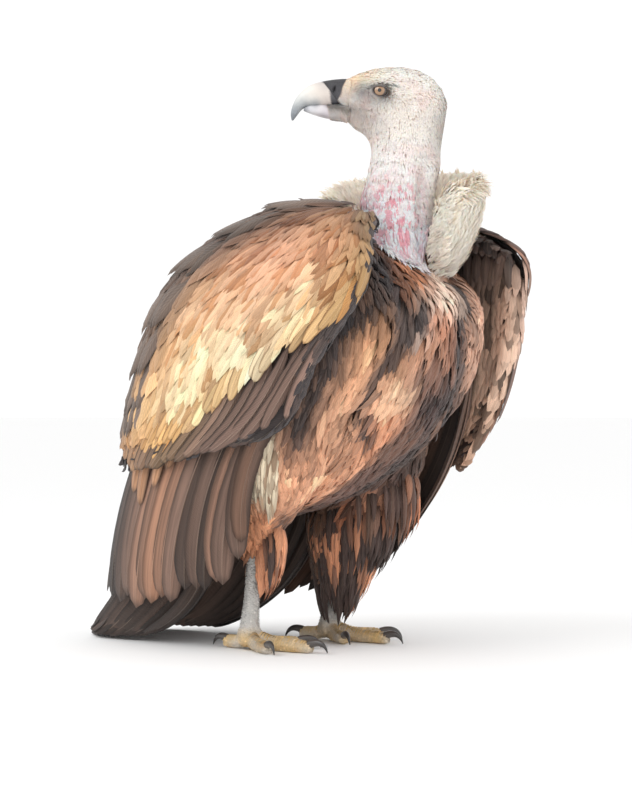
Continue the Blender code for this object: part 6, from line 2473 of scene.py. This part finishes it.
def main() -> None:
    """Build skin, coats, wings, horn, eyes, feet and stage, in this order."""
    logging.basicConfig(level=logging.INFO, format="%(message)s", stream=sys.stdout)
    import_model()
    frame = BirdFrame.from_eyes()
    groups = Groups()
    rng = np.random.default_rng(SEED)
    feathers = {
        "coverts": FeatherFinish("coverts", barbs=30.0, slant=9.0, rim_from=0.55, streaks=0.62,
                                 root_dark=0.35,
                                 shaft_light=0.12),
        "greater": FeatherFinish("greater_coverts", barbs=40.0, slant=14.0, rim_from=0.58, tip_from=0.93,
                                 shaft=0.040, shaft_light=0.22, streaks=0.50, root_dark=0.30, fray=0.35),
        "flight": FeatherFinish("flight_feathers", barbs=120.0, slant=34.0, rim_from=0.50, tip_from=0.94,
                                shaft=0.030, shaft_light=0.14, streaks=0.70, root_dark=0.1, roughness=0.66,
                                fray=0.7),
        "body": FeatherFinish("body_feathers", barbs=16.0, slant=7.0, rim_from=0.45, tip_from=0.80,
                              streaks=0.55, root_dark=0.55, shaft_light=0.15),
        "ruff": FeatherFinish("ruff_down", barbs=8.0, slant=3.0, streaks=0.12, root_dark=0.05,
                              shaft_light=0.0,
                              roughness=0.85, relief=0.0001, bleed=0.25),
        "down": FeatherFinish("down", barbs=5.0, slant=2.0, streaks=0.08, root_dark=0.05, shaft_light=0.0,
                              roughness=0.9, relief=0.0001, bleed=0.25),
    }
    feathers = {key: finish.build(groups) for key, finish in feathers.items()}
    hides = {
        "skin": HideFinish("skin", size=90.0, uneven=0.10, roughness=0.62, relief=0.0005, bleed=0.08),
        "horn": HideFinish("bill_horn", size=55.0, uneven=0.12, roughness=0.48, relief=0.0004, coat=0.12),
        "cere": HideFinish("cere_skin", size=160.0, uneven=0.20, roughness=0.48, relief=0.0005, cells=900.0),
        "scales": HideFinish("leg_scales", size=140.0, uneven=0.18, roughness=0.52, relief=0.0003),
        "claw": HideFinish("claw_horn", size=120.0, uneven=0.25, roughness=0.30, relief=0.0002, coat=0.3),
    }
    hides = {key: finish.build(groups) for key, finish in hides.items()}
    skin = BodySkin(frame)
    skin.build(hides["skin"])
    coat = Coat(frame, skin)
    beak = Beak(frame)
    coat.body(feathers["body"], rng)
    coat.body_locks(feathers["body"], rng)
    coat.thighs(feathers["body"], rng)
    coat.trousers(feathers["body"], rng)
    coat.leg_tuft(feathers["body"], rng)
    coat.lining(feathers["coverts"], rng)
    coat.ruff(feathers["ruff"], rng)
    coat.neck_down(feathers["down"], rng)
    coat.head_down(feathers["down"], beak, rng)
    coat.leg_scales(hides["scales"], rng)
    for side in SIDES:
        wing = Wing(frame, side)
        wing.secondaries(feathers["flight"], rng)
        wing.primaries(feathers["flight"], rng)
        wing.large_coverts(feathers["greater"], rng)
        wing.front_feathers(feathers["body"], rng)
        wing.small_coverts(feathers["coverts"], rng)
        wing.scapulars(feathers["coverts"], rng)
    build_tail(frame, feathers["flight"], rng)
    beak.build("bill_tip", BILL_ROWS, BILL_TONES, hides["horn"], "bill_horn", "bill_upper", ridge=0.00012)
    beak.build("bill_under", LOWER_BILL_ROWS, LOWER_TONES, hides["horn"], "bill_horn", "bill_lower")
    beak.build("bare_cere", CERE_ROWS, CERE_TONES, hides["cere"], "cere_skin", "cere")
    build_eyes(frame, EyeFinish().build())
    feet = Feet(frame)
    feet.claws(hides["claw"])
    feet.scutes(hides["scales"], rng)
    Studio(frame).build()


if __name__ == "__main__":
    main()
